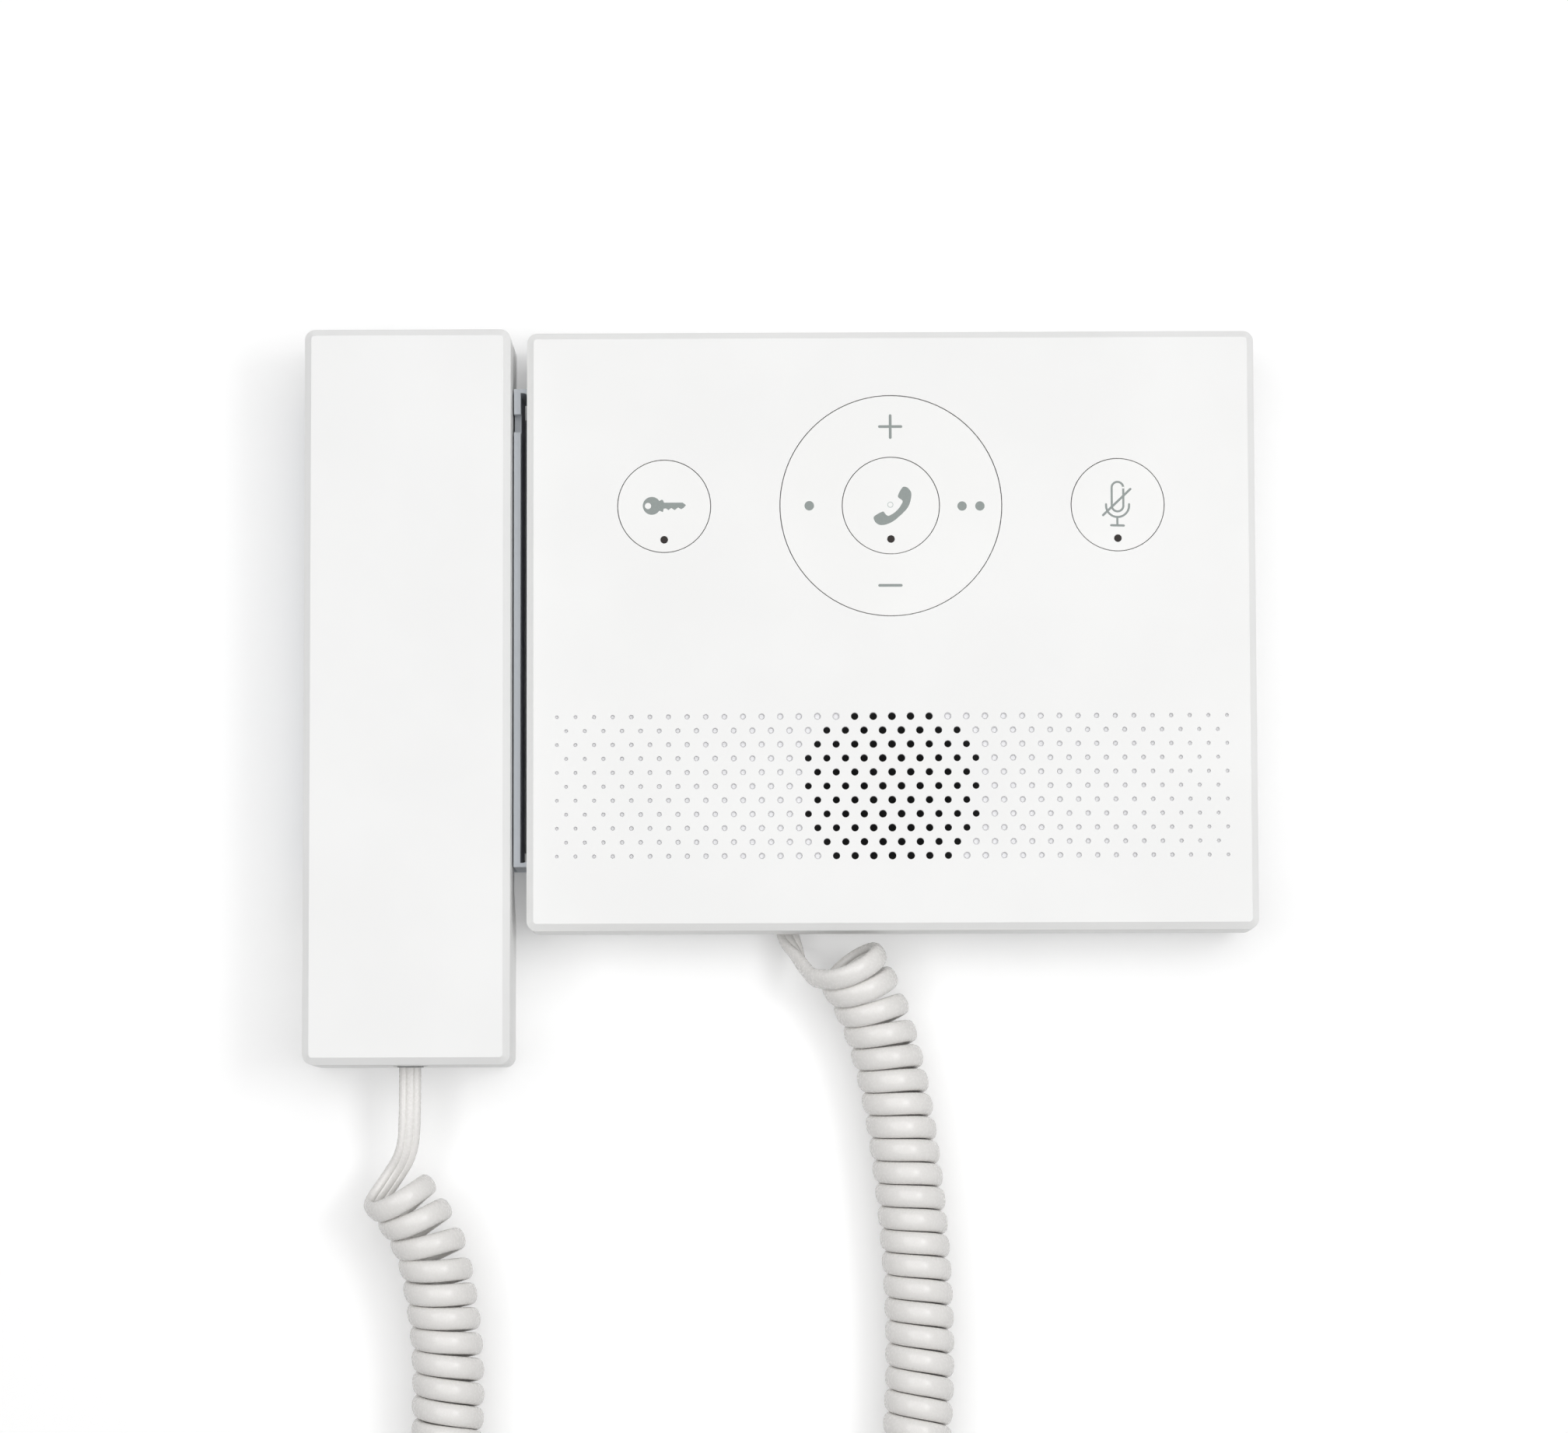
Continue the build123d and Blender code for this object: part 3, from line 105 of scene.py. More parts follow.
def number_setting(name, default, about, **limits):
    """A plain number that the user may change."""
    return FloatProperty(name=name, description=about, default=default, **limits)


class IntercomColours(bpy.types.PropertyGroup):
    """Colours of the intercom's finishes."""

    casing: colour_setting("Casing", (0.9, 0.9, 0.893), "Main unit's moulded casing")
    # Pits: colour of the painted shade in the grille's pits
    pits: colour_setting("Pits", (0.6, 0.6, 0.61), "Dusty bottoms of the grille's pits")
    handset: colour_setting("Handset", (0.9, 0.9, 0.895), "Handset shells")
    # Cradle: partly the cradle's own grey, partly painted shade, which makes it darker and bluer
    cradle: colour_setting("Cradle", (0.6, 0.63, 0.67), "Handset cradle")
    keys: colour_setting("Keys", (0.9, 0.9, 0.89), "Push buttons and the ring")
    print_ink: colour_setting("Key print", (0.235, 0.265, 0.255), "Pictograms on the keys")
    lens: colour_setting("Lens", (0.022, 0.016, 0.014), "Smoked indicator lenses")
    cord: colour_setting("Cord", (0.805, 0.79, 0.77), "Curly cord's jacket")
    plate: colour_setting("Wall plate", (0.6, 0.61, 0.62), "Plate behind the unit")
    wall: colour_setting("Wall", (0.955, 0.955, 0.955), "Wall of the stage")


class IntercomCord(bpy.types.PropertyGroup):
    """Sizes of the curly cord."""

    width: size_setting("Width", 5.35 * mm, "Width of the flat cord")
    thickness: size_setting("Thickness", 3 * mm, "Thickness of the flat cord")
    coil_radius: size_setting("Coil radius", 6.9 * mm, "From the coil's middle line to the cord's middle")
    pitch: size_setting("Pitch", 5.53 * mm, "From one curl to the next")
    length: size_setting("Length", 2.79, "Length of the cord, unwound")
    loose_start: number_setting("Loose start", 0.14, "How much wider the first curl is", min=0, max=0.3)
    loose_end: number_setting("Loose end", 0.05, "How much wider the last curls are", min=0, max=0.3)
    rings: IntProperty(name="Rings", description="Cross sections in each curl", default=28, min=8, max=64)


class IntercomStage(bpy.types.PropertyGroup):
    """Light and wall of the stage."""

    key_power: number_setting("Key light", 22.7, "Power of the front light", subtype="POWER")
    side_power: number_setting("Side lights", 4.2, "Power of both side lights together", subtype="POWER")
    back_strength: number_setting("Back light", 1.0, "Light on the back, which the wall lets through")
    ambient: number_setting("Ambient", 0.23, "Strength of the light from all round")
    wall_glow: number_setting("Wall glow", 0.12, "How much whiter the camera sees the wall")
    wall_width: size_setting("Wall width", 3.0, "Width of the wall")


# Finishes: shader maths as expressions


class Wire:
    """A node's output that takes part in Python expressions."""

    def __init__(self, owner, socket):
        self.owner = owner
        self.socket = socket

    def maths(self, operation, *values):
        """A Math node on these values."""
        return self.owner.node("ShaderNodeMath", {"operation": operation}, dict(enumerate(values)))

    def __add__(self, other):
        return self.maths("ADD", self, other)

    __radd__ = __add__

    def __sub__(self, other):
        return self.maths("SUBTRACT", self, other)

    def __rsub__(self, other):
        return self.maths("SUBTRACT", other, self)

    def __mul__(self, other):
        return self.maths("MULTIPLY", self, other)

    __rmul__ = __mul__

    def __gt__(self, other):
        return self.maths("GREATER_THAN", self, other)

    def __lt__(self, other):
        return self.maths("LESS_THAN", self, other)

    def smooth(self, low, high):
        """0 below low, 1 above high and a soft ramp between them."""
        settings = {"interpolation_type": "SMOOTHSTEP"}
        return self.owner.node("ShaderNodeMapRange", settings, {0: self, 1: low, 2: high})


class ShaderTree:
    """A shader's nodes under construction."""

    def __init__(self, owner, shader):
        owner.use_nodes = True
        self.tree = owner.node_tree
        self.shader = self.tree.nodes[shader]

    def feed(self, socket, value):
        """Links a socket, or gives it a value."""
        if isinstance(value, Wire):
            self.tree.links.new(value.socket, socket)
        else:
            socket.default_value = value

    def node(self, kind, settings=None, values=None, output=0):
        """Adds a node: its settings first, then the values or links of its sockets."""
        node = self.tree.nodes.new(kind)
        for name, value in (settings or {}).items():
            setattr(node, name, value)
        for name, value in (values or {}).items():
            self.feed(node.inputs[name], value)
        return Wire(self, node.outputs[output])

    def set(self, **inputs):
        """Feeds inputs of the shader."""
        for name, value in inputs.items():
            self.feed(self.shader.inputs[name.replace("_", " ").title().replace("Ior", "IOR")], value)
        return self


class Finish(ShaderTree):
    """A procedural material under construction."""

    def __init__(self, name, **constants):
        self.material = bpy.data.materials.new(name)
        super().__init__(self.material, "Principled BSDF")
        self.set(**constants)
        self.place = self.node("ShaderNodeTexCoord", output="Object")

    def noise(self, size, detail=2, roughness=0.5, place=None):
        """Cloudy noise whose patches have this size in metres."""
        values = {"Vector": place or self.place, "Scale": 1 / size, "Detail": detail, "Roughness": roughness}
        return self.node("ShaderNodeTexNoise", {}, values)

    def mix(self, share, first, second):
        """A colour between two colours."""
        values = {0: share, 6: as_colour(first), 7: as_colour(second)}
        return self.node("ShaderNodeMix", {"data_type": "RGBA"}, values, output=2)

    def axis(self, letter):
        """One coordinate of the place on the object."""
        return self.node("ShaderNodeSeparateXYZ", {}, {0: self.place}, output=letter)

    def bump(self, height, depth, strength=1.0):
        """Relief of this depth in metres from a height between 0 and 1."""
        values = {"Height": height, "Distance": depth, "Strength": strength}
        return self.set(Normal=self.node("ShaderNodeBump", {}, values))

    def surface(self, colour, roughness, height, depth, strength=1.0):
        """Feeds colour, roughness and relief, and gives the finished material."""
        self.set(Base_Color=colour, Roughness=roughness)
        return self.bump(height, depth, strength).material


def as_colour(value):
    """A colour with its fourth number, or a link as it is."""
    return value if isinstance(value, Wire) else (*value[:3], 1)


def darker(colour, share):
    """A colour with this share of its brightness; more than 1 makes it lighter."""
    return tuple(share * value for value in colour[:3])


def moulded_plastic(name, colour, roughness=0.5, depth=0.004 * mm, pit_colour=None):
    """Injection moulding: a fine spark-eroded grain, faint flow clouds and a little uneven sheen."""
    finish = Finish(name, roughness=roughness)
    clouds = finish.noise(38 * mm, detail=3)
    grain_height = finish.noise(0.45 * mm, detail=3, roughness=0.6)
    base = finish.mix(clouds.smooth(0.3, 0.75), darker(colour, 0.965), colour)
    # Painted shade in the grille's pits, when a pit colour is given
    if pit_colour:
        base = painted_pit_shade(finish, base, pit_colour)
    return finish.surface(base, roughness - 0.05 + 0.1 * clouds + 0.04 * grain_height, grain_height, depth)


def painted_pit_shade(finish, clean, pit_colour):
    """Painted shade: a colour that turns greyer down in the grille's pits, and greyer still in the pits away
    from the middle.
    """
    across, out, up = finish.axis("X"), finish.axis("Y"), finish.axis("Z")
    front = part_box("front_cover")[0].y
    from_middle = across.maths("ABSOLUTE", across)
    over_grille = (from_middle < grille_half_width) * (up < grille_top) * (up > grille_bottom)
    # Painted shade: greyer with depth below the front, lighter in the wide middle pits and darker towards
    # the sides
    depth = out.smooth(front + 0.02 * mm, front + 0.3 * mm)
    pit_shade = finish.mix(from_middle.smooth(0.02, 0.08), darker(pit_colour, 1.22), pit_colour)
    return finish.mix(over_grille * depth, clean, pit_shade)


def polished_plastic(name, colour, roughness=0.12, glint=0.5):
    """Smooth gloss moulding with faint ripples and fine handling marks."""
    finish = Finish(name, roughness=roughness, Specular_IOR_Level=glint)
    ripples = finish.noise(2.5 * mm, detail=2)
    marks = finish.noise(0.4 * mm, detail=4, roughness=0.7)
    base = finish.mix(ripples, darker(colour, 0.8), colour)
    return finish.surface(base, roughness + 0.12 * marks.smooth(0.52, 0.8), ripples, 0.01 * mm, 0.4)


def clear_plastic(name):
    """Clear moulded plug body with slight flow lines."""
    finish = Finish(name, roughness=0.1, ior=1.49, transmission_weight=0.82)
    flow = finish.noise(1.6 * mm, detail=2)
    base = finish.mix(flow, (0.84, 0.86, 0.86), (0.93, 0.94, 0.94))
    return finish.surface(base, 0.07 + 0.12 * flow, flow, 0.012 * mm, 0.5)


def rubber(name, colour, roughness=0.8):
    """Moulded rubber or foam with a dusty bloom."""
    finish = Finish(name, roughness=roughness)
    pores = finish.noise(0.35 * mm, detail=4, roughness=0.65)
    bloom = finish.noise(6 * mm, detail=3)
    base = finish.mix(bloom.smooth(0.45, 0.75), colour, tuple(v + 0.03 for v in colour))
    return finish.surface(base, roughness + 0.1 * pores - 0.05, pores, 0.03 * mm, 0.7)


def plated_metal(name, colour, roughness=0.3, patch=1.2 * mm):
    """Plated or rolled metal: streaked sheen, small spangles and slight stains."""
    finish = Finish(name, roughness=roughness, metallic=1.0)
    stretch = {0: finish.place, 1: (1, 1, 0.12)}
    stretched = finish.node("ShaderNodeVectorMath", {"operation": "MULTIPLY"}, stretch)
    streaks = finish.noise(patch / 3, detail=3, place=stretched)
    stains = finish.noise(8 * mm, detail=3)
    base = finish.mix(stains.smooth(0.5, 0.8), colour, darker(colour, 0.8))
    return finish.surface(base, roughness - 0.08 + 0.2 * streaks, streaks, 0.006 * mm, 0.5)


def cast_iron(name, colour):
    """Painted casting or pressing: grainy, with small pits."""
    finish = Finish(name, roughness=0.6, metallic=0.4)
    pits = finish.noise(0.8 * mm, detail=5, roughness=0.7)
    base = finish.mix(pits.smooth(0.35, 0.7), darker(colour, 0.6), colour)
    return finish.surface(base, 0.45 + 0.3 * pits, pits, 0.08 * mm, 0.8)


def paper_cone(name, colour):
    """Pressed paper: short fibres and corrugations round the middle."""
    finish = Finish(name, roughness=0.85)
    fibres = finish.noise(0.25 * mm, detail=5, roughness=0.75)
    base = finish.mix(fibres.smooth(0.3, 0.8), darker(colour, 0.55), colour)
    return finish.surface(base, 0.75 + 0.2 * fibres, fibres, 0.05 * mm, 0.8)


def board_laminate(name):
    """Green solder mask over copper tracks, bare laminate between them."""
    finish = Finish(name, roughness=0.35)
    upright = {"Vector": finish.place, "Rotation": (pi / 2, 0, 0)}
    turned_place = finish.node("ShaderNodeMapping", {}, upright)
    settings = {"offset": 0.37, "squash": 0.6, "squash_frequency": 3}
    sizes = {
        "Vector": turned_place,
        "Scale": 1.0,
        "Mortar Size": 0.35 * mm,
        "Mortar Smooth": 0.1,
        "Brick Width": 7 * mm,
        "Row Height": 1.7 * mm,
    }
    tracks = finish.node("ShaderNodeTexBrick", settings, sizes, output="Fac")
    weave = finish.noise(0.5 * mm, detail=3)
    base = finish.mix(tracks, (0.006, 0.095, 0.045), (0.03, 0.23, 0.1))
    return finish.surface(base, 0.28 + 0.2 * weave, tracks + 0.3 * weave, 0.035 * mm, 0.8)


def wire_jackets(name, first, second, split):
    """Thin insulated leads, one colour each side of a plane across x."""
    finish = Finish(name, roughness=0.4)
    sheen = finish.noise(1.2 * mm, detail=2)
    side = finish.axis("X") > split
    base = finish.mix(side, first, second)
    return finish.surface(base, 0.32 + 0.2 * sheen, sheen, 0.02 * mm, 0.5)


def cord_jacket(name, colour):
    """Soft extruded jacket: fine die lines, a slight sheen and faint soiling."""
    finish = Finish(name, roughness=0.26)
    soiling = finish.noise(9 * mm, detail=4)
    skin = finish.noise(0.7 * mm, detail=3)
    base = finish.mix(soiling.smooth(0.35, 0.8), colour, darker(colour, 0.955))
    return finish.surface(base, 0.22 + 0.1 * skin, skin, 0.002 * mm, 0.5)


def key_print(name, colour):
    """Pad-printed ink: even, with slightly thin patches."""
    finish = Finish(name, roughness=0.45)
    ink = finish.noise(0.5 * mm, detail=4)
    base = finish.mix(ink.smooth(0.3, 0.9), colour, darker(colour, 1.12))
    return finish.surface(base, 0.4 + 0.15 * ink, ink, 0.004 * mm, 0.6)


made_finishes = {}

# Makers, colours and other details of the finishes that have no setting
fixed_finishes = {
    "board_laminate": (board_laminate,),
    "capacitor_can": (plated_metal, (0.8, 0.8, 0.8), 0.3),
    "carrier_plastic": (moulded_plastic, (0.09, 0.09, 0.095), 0.45),
    "chip_epoxy": (moulded_plastic, (0.025, 0.025, 0.027), 0.5),
    "clear_plug": (clear_plastic,),
    "cone_paper": (paper_cone, (0.1, 0.1, 0.1)),
    "cord_wires": (wire_jackets, (0.6, 0.6, 0.05), (0.5, 0.03, 0.02), -0.0255),
    "earpiece_case": (moulded_plastic, (0.05, 0.05, 0.055), 0.4),
    "gilt_contact": (plated_metal, (0.83, 0.62, 0.25), 0.22),
    "handset_wires": (wire_jackets, (0.5, 0.03, 0.02), (0.03, 0.03, 0.03), -0.1166),
    "led_epoxy": (polished_plastic, (0.85, 0.83, 0.72)),
    "magnet_metal": (plated_metal, (0.52, 0.52, 0.53), 0.25),
    "microphone_metal": (plated_metal, (0.75, 0.75, 0.74), 0.35),
    "screw_steel": (plated_metal, (0.66, 0.66, 0.65), 0.27),
    "seal_rubber": (rubber, (0.03, 0.03, 0.03)),
    "shield_steel": (plated_metal, (0.72, 0.72, 0.7), 0.28),
    "socket_plastic": (moulded_plastic, (0.03, 0.03, 0.032), 0.4),
    "speaker_ferrite": (cast_iron, (0.09, 0.09, 0.095)),
    "speaker_paint": (cast_iron, (0.045, 0.045, 0.045)),
    "speaker_wires": (wire_jackets, (0.03, 0.03, 0.03), (0.5, 0.03, 0.02), 0.0),
    "switch_plastic": (moulded_plastic, (0.035, 0.035, 0.035), 0.45),
    "weight_iron": (cast_iron, (0.12, 0.12, 0.13)),
}


def finish_of(name, maker=None, *details, **more):
    """The finish of this name, made once; one with no maker is in the table of fixed finishes."""
    if name not in made_finishes:
        if maker is None:
            maker, *details = fixed_finishes[name]
        made_finishes[name] = maker(name, *details, **more)
    return made_finishes[name]


def coat(finish, *nodes):
    """Gives carried-over CAD pieces a finish, or a fixed finish by its name."""
    for node in nodes:
        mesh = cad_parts[node].data
        mesh.materials.clear()
        mesh.materials.append(finish_of(finish) if isinstance(finish, str) else finish)


# Mesh building

merge_distance = 1e-7


def in_scene(name, data):
    """An object with this data, in the scene."""
    thing = bpy.data.objects.new(name, data)
    bpy.context.scene.collection.objects.link(thing)
    return thing


def curve_mesh(data):
    """The mesh that a curve gives."""
    carrier = in_scene(data.name, data)
    bpy.context.view_layer.update()
    mesh = bpy.data.meshes.new_from_object(carrier)
    bpy.data.objects.remove(carrier)
    return mesh


def new_piece(name, mesh, body, finish, smooth=30):
    """Adds a piece that rides on a body and takes its finish from a slot."""
    piece = in_scene(name, mesh)
    mesh.materials.clear()
    mesh.materials.append(finish)
    mesh.shade_smooth()
    mesh.set_sharp_from_angle(angle=radians(smooth))
    if body:
        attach(piece, body)
    return piece


def plain_mesh(name, shape):
    """A mesh of the shape as it is."""
    mesh = bpy.data.meshes.new(name)
    shape.to_mesh(mesh)
    shape.free()
    return mesh


def outward_mesh(name, shape):
    """A mesh of the shape with its normals turned outward."""
    bmesh.ops.recalc_face_normals(shape, faces=shape.faces)
    return plain_mesh(name, shape)


def from_bmesh(name, shape):
    """A mesh with even normals, merged where points meet."""
    bmesh.ops.remove_doubles(shape, verts=shape.verts, dist=merge_distance)
    return outward_mesh(name, shape)


def add_prism(shape, outline, along):
    """A closed prism: an outline of points, pushed along a vector."""
    low = [shape.verts.new(p) for p in outline]
    high = [shape.verts.new(Vector(p) + Vector(along)) for p in outline]
    count = len(outline)
    shape.faces.new(low)
    shape.faces.new(high)
    for i in range(count):
        shape.faces.new((low[i], low[(i + 1) % count], high[(i + 1) % count], high[i]))


def add_block(shape, low, high, edge=0.0):
    """A block between two corners, its edges rounded off."""
    low, high = Vector(low), Vector(high)
    made = bmesh.ops.create_cube(shape, size=1)["verts"]
    for vert in made:
        vert.co = Vector((low[i] + high[i]) / 2 + vert.co[i] * (high[i] - low[i]) for i in range(3))
    if edge:
        edges = list(dict.fromkeys(e for v in made for e in v.link_edges))
        bmesh.ops.bevel(shape, geom=edges, offset=edge, segments=3, affect="EDGES", profile=0.5)


def add_turned(shape, profile, centre, sides):
    """A turned solid: (radius, distance) points swung about a line along y through the centre."""
    rings = []
    for radius, along in profile:
        angles = [2 * pi * i / sides for i in range(sides)]
        offsets = [Vector((radius * cos(a), along, radius * sin(a))) for a in angles]
        rings.append([shape.verts.new(Vector(centre) + offset) for offset in offsets])
    for low, high in zip(rings, rings[1:]):
        for i in range(sides):
            shape.faces.new((low[i], low[(i + 1) % sides], high[(i + 1) % sides], high[i]))
    shape.faces.new(rings[0])
    shape.faces.new(rings[-1])


def cut_out(mesh, cutter):
    """The mesh with another mesh cut out of it."""
    block, tool = in_scene("block", mesh), in_scene("tool", cutter)
    modifier = block.modifiers.new("cut", "BOOLEAN")
    modifier.operation = "DIFFERENCE"
    modifier.solver = "EXACT"
    # The two slots of a cross recess pass through each other. Without this, nothing is left of the block.
    modifier.use_self = True
    modifier.object = tool
    graph = bpy.context.evaluated_depsgraph_get()
    result = bpy.data.meshes.new_from_object(block.evaluated_get(graph))
    bpy.data.objects.remove(block)
    bpy.data.objects.remove(tool)
    if len(result.polygons) <= len(mesh.polygons):
        raise RuntimeError("the cut in %s left %d faces" % (mesh.name, len(result.polygons)))
    return result


def islands(node):
    """The points of each separate solid of a CAD piece."""
    shape = bmesh.new()
    shape.from_mesh(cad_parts[node].data)
    bmesh.ops.remove_doubles(shape, verts=shape.verts, dist=merge_distance)
    shape.verts.index_update()
    left = dict.fromkeys(range(len(shape.verts)))
    verts = list(shape.verts)
    groups = []
    while left:
        pending = [left.popitem()[0]]
        group = []
        while pending:
            vert = verts[pending.pop()]
            group.append(vert.co.copy())
            for edge in vert.link_edges:
                other = edge.other_vert(vert).index
                if other in left:
                    del left[other]
                    pending.append(other)
        groups.append(np.array(group))
    shape.free()
    return groups


# Small parts


# Radius and height along a screw's head, as shares of the whole
head_profile = [(0.02, 0), (0.62, 0.02), (0.85, 0.1), (0.96, 0.28), (1, 0.5), (1, 1)]
# Radius and height along one ring of its thread, as shares of the shank and the pitch
thread_profile = [(0.76, 0), (0.97, 0.4), (0.97, 0.52), (0.76, 0.9)]
thread_pitch = 0.7 * mm
round_sides = 28
twist_step = 37  # degrees


def screw_mesh(head_radius, head_height, shank_radius, length):
    """A pan-head screw, its head's top at 0 and its point towards +y, with a cross recess."""
    shape = bmesh.new()
    profile = [(r * head_radius, a * head_height) for r, a in head_profile]
    profile.append((0.8 * shank_radius, head_height))
    along = head_height + 0.2 * thread_pitch
    while along < length - 2 * thread_pitch:
        profile += [(r * shank_radius, along + a * thread_pitch) for r, a in thread_profile]
        along += thread_pitch
    profile += [(0.7 * shank_radius, length - thread_pitch), (0.1 * shank_radius, length)]
    add_turned(shape, profile, (0, 0, 0), round_sides)
    recess = bmesh.new()
    arm, slot, deep = 0.52 * head_radius, 0.11 * head_radius, 0.62 * head_height
    outline = [(-arm, -0.2 * mm), (arm, -0.2 * mm), (0.45 * arm, deep), (-0.45 * arm, deep)]
    for turn in (0, pi / 2):
        turned = Matrix.Rotation(turn, 3, "Y")
        points = [turned @ Vector((x, y, -slot)) for x, y in outline]
        add_prism(recess, points, turned @ Vector((0, 0, 2 * slot)))
    return cut_out(from_bmesh("screw", shape), outward_mesh("recess", recess))


def fit_screws(node, body="base", axis=1):
    """Threaded screws with cross recesses where the CAD piece has plain pins with heads."""
    shape = bmesh.new()
    first, second = [i for i in range(3) if i != axis]
    master = None
    for points in islands(node):
        low, high = points.min(0), points.max(0)
        centre = (low + high) / 2
        reach = np.hypot(points[:, first] - centre[first], points[:, second] - centre[second])
        head_radius = reach.max()
        on_head = points[reach > 0.95 * head_radius][:, axis]
        shank = reach[(reach < 0.9 * head_radius) & (reach > 0.05 * head_radius)]
        head_low, head_high = on_head.min(), on_head.max()
        head_first = head_low - low[axis] < high[axis] - head_high
        if master is None:
            master = screw_mesh(head_radius, head_high - head_low, shank.max(), high[axis] - low[axis])
        place = Matrix.Identity(4)
        if axis == 2:
            place = Matrix.Rotation(pi / 2, 4, "X")
        if not head_first:
            place = Matrix.Rotation(pi, 4, "X") @ place
        centre[axis] = low[axis] if head_first else high[axis]
        twist = Matrix.Rotation(radians(twist_step * len(shape.verts) % 90), 4, "Y")
        copy = master.copy()
        copy.transform(Matrix.Translation(Vector(centre)) @ place @ twist)
        shape.from_mesh(copy)
    name = node + "_threaded"
    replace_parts(new_piece(name, plain_mesh(name, shape), body, finish_of("screw_steel")), node)


def add_piece(name, shape, body, finish, smooth=30):
    """Adds a piece of this shape."""
    if isinstance(finish, str):
        finish = finish_of(finish)
    return new_piece(name, from_bmesh(name, shape), body, finish, smooth)


def plug_pieces(node, name, body):
    """A small clear cord plug: body with a strain neck and latch, and four gilt contacts in it."""
    low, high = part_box(node)
    middle, half_x = (low.x + high.x) / 2, (high.x - low.x) / 2
    top, bottom = high.z, low.z
    neck = 0.3 * (top - bottom)
    hinge = top - 0.46 * (top - bottom)
    back, front = low.y + 0.24 * (high.y - low.y), high.y
    shape = bmesh.new()
    outline = [
        (-0.8 * half_x, bottom), (0.8 * half_x, bottom), (half_x, bottom + 0.4 * neck), (half_x, top),
        (-half_x, top), (-half_x, bottom + 0.4 * neck),
    ]
    add_prism(shape, [(middle + x, back, z) for x, z in outline], (0, front - back, 0))
    latch = [
        (back + 0.1 * mm, top - 0.2 * mm), (low.y, hinge), (low.y, bottom + neck),
        (low.y + 0.8 * mm, bottom + neck), (low.y + 1.1 * mm, hinge), (back + 0.1 * mm, top - 2 * mm),
    ]
    add_prism(shape, [(middle - 1.5 * mm, y, z) for y, z in latch], (3 * mm, 0, 0))
    bmesh.ops.recalc_face_normals(shape, faces=shape.faces)
    edges = [e for e in shape.edges if e.calc_face_angle(0) > 0.5]
    bmesh.ops.bevel(shape, geom=edges, offset=0.14 * mm, segments=2, affect="EDGES", profile=0.5)
    shell = add_piece(name, shape, body, "clear_plug", 40)
    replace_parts(shell, node)
    shape = bmesh.new()
    for i in range(4):
        x = middle + (i - 1.5) * pin_pitch * mm
        low_corner = (x - 0.17 * mm, front - 1.9 * mm, top - 4.2 * mm)
        add_block(shape, low_corner, (x + 0.17 * mm, front - 0.1 * mm, top - 0.7 * mm), 0.05 * mm)
    return [shell, add_piece(name + "_contacts", shape, body, "gilt_contact")]


# Millimetres from the network socket's back lower edge: depth and height of a spring contact
contact_outline = [(2.25, 12.6), (2.25, 3.6), (5.2, 9.6), (5.2, 10.1), (2.65, 4.9), (2.65, 12.6)]
# Millimetres: x and z of the middle, then width and height, or radius and height
pin_pitch = 1.27
chip_places = [(38, 34, 10, 10), (30, 10, 6, 5), (-34, 38, 8, 5), (-38, 12, 5, 4), (52, 46, 6, 4)]
can_places = [(-55, 46, 3.1, 5.4), (-48, 46, 3.1, 5.4), (58, 30, 2.5, 5.2), (58, 22, 2.5, 5.2)]


def board_block(shape, centre, half, depths, edge):
    """A block on the board, in millimetres: its middle, half sizes, two depths and edge radius."""
    low = (centre[0] - half[0], depths[0], centre[1] - half[1])
    high = (centre[0] + half[0], depths[1], centre[1] + half[1])
    add_block(shape, [v * mm for v in low], [v * mm for v in high], edge * mm)


# Pictograms, in millimetres from a key's centre

keys_height = 0.03
key_sign = [
    (-1.12, 1.3), (-0.6, 1.6), (-0.3, 1.5), (-0.08, 0.97), (0, 0.87), (4.48, 0.87), (5.27, 0.26),
    (4.63, -0.45), (4.1, -0.72), (3.36, -0.3), (2.54, -0.94), (1.71, -0.42), (1.04, -0.94), (0.44, -0.52),
    (-0.11, -0.6), (-0.3, -1.34), (-0.41, -1.39), (-1.12, -1.09),
]
phone_sign = [
    (2.91, 4.46), (3.14, 4.54), (4.05, 4.31), (4.28, 4.08), (4.81, 3.4), (4.96, 2.79), (4.93, 2.19),
    (4.66, 0.82), (4.05, -0.55), (3.14, -1.61), (1.93, -2.75), (0.71, -3.73), (-0.81, -4.49),
    (-2.17, -4.75), (-2.93, -4.64), (-3.69, -4.11), (-4.07, -3.43), (-4.15, -2.82), (-3.99, -2.6),
    (-2.1, -1.53), (-1.79, -1.49), (-1.57, -1.76), (-0.96, -2.41), (-0.58, -2.52), (0.1, -2.22),
    (1.02, -1.61), (1.93, -0.7), (2.53, 0.21), (2.84, 1.05), (2.69, 1.28), (1.77, 2.03), (1.73, 2.34),
]


def round_points(centre, radius, start=0.0, end=360.0, count=40):
    """Points on an arc, angles in degrees from +x towards +z."""
    spread = [radians(start + (end - start) * i / count) for i in range(count + 1)]
    points = [(centre[0] + radius * cos(a), centre[1] + radius * sin(a)) for a in spread]
    return points[:-1] if end - start >= 360 else points


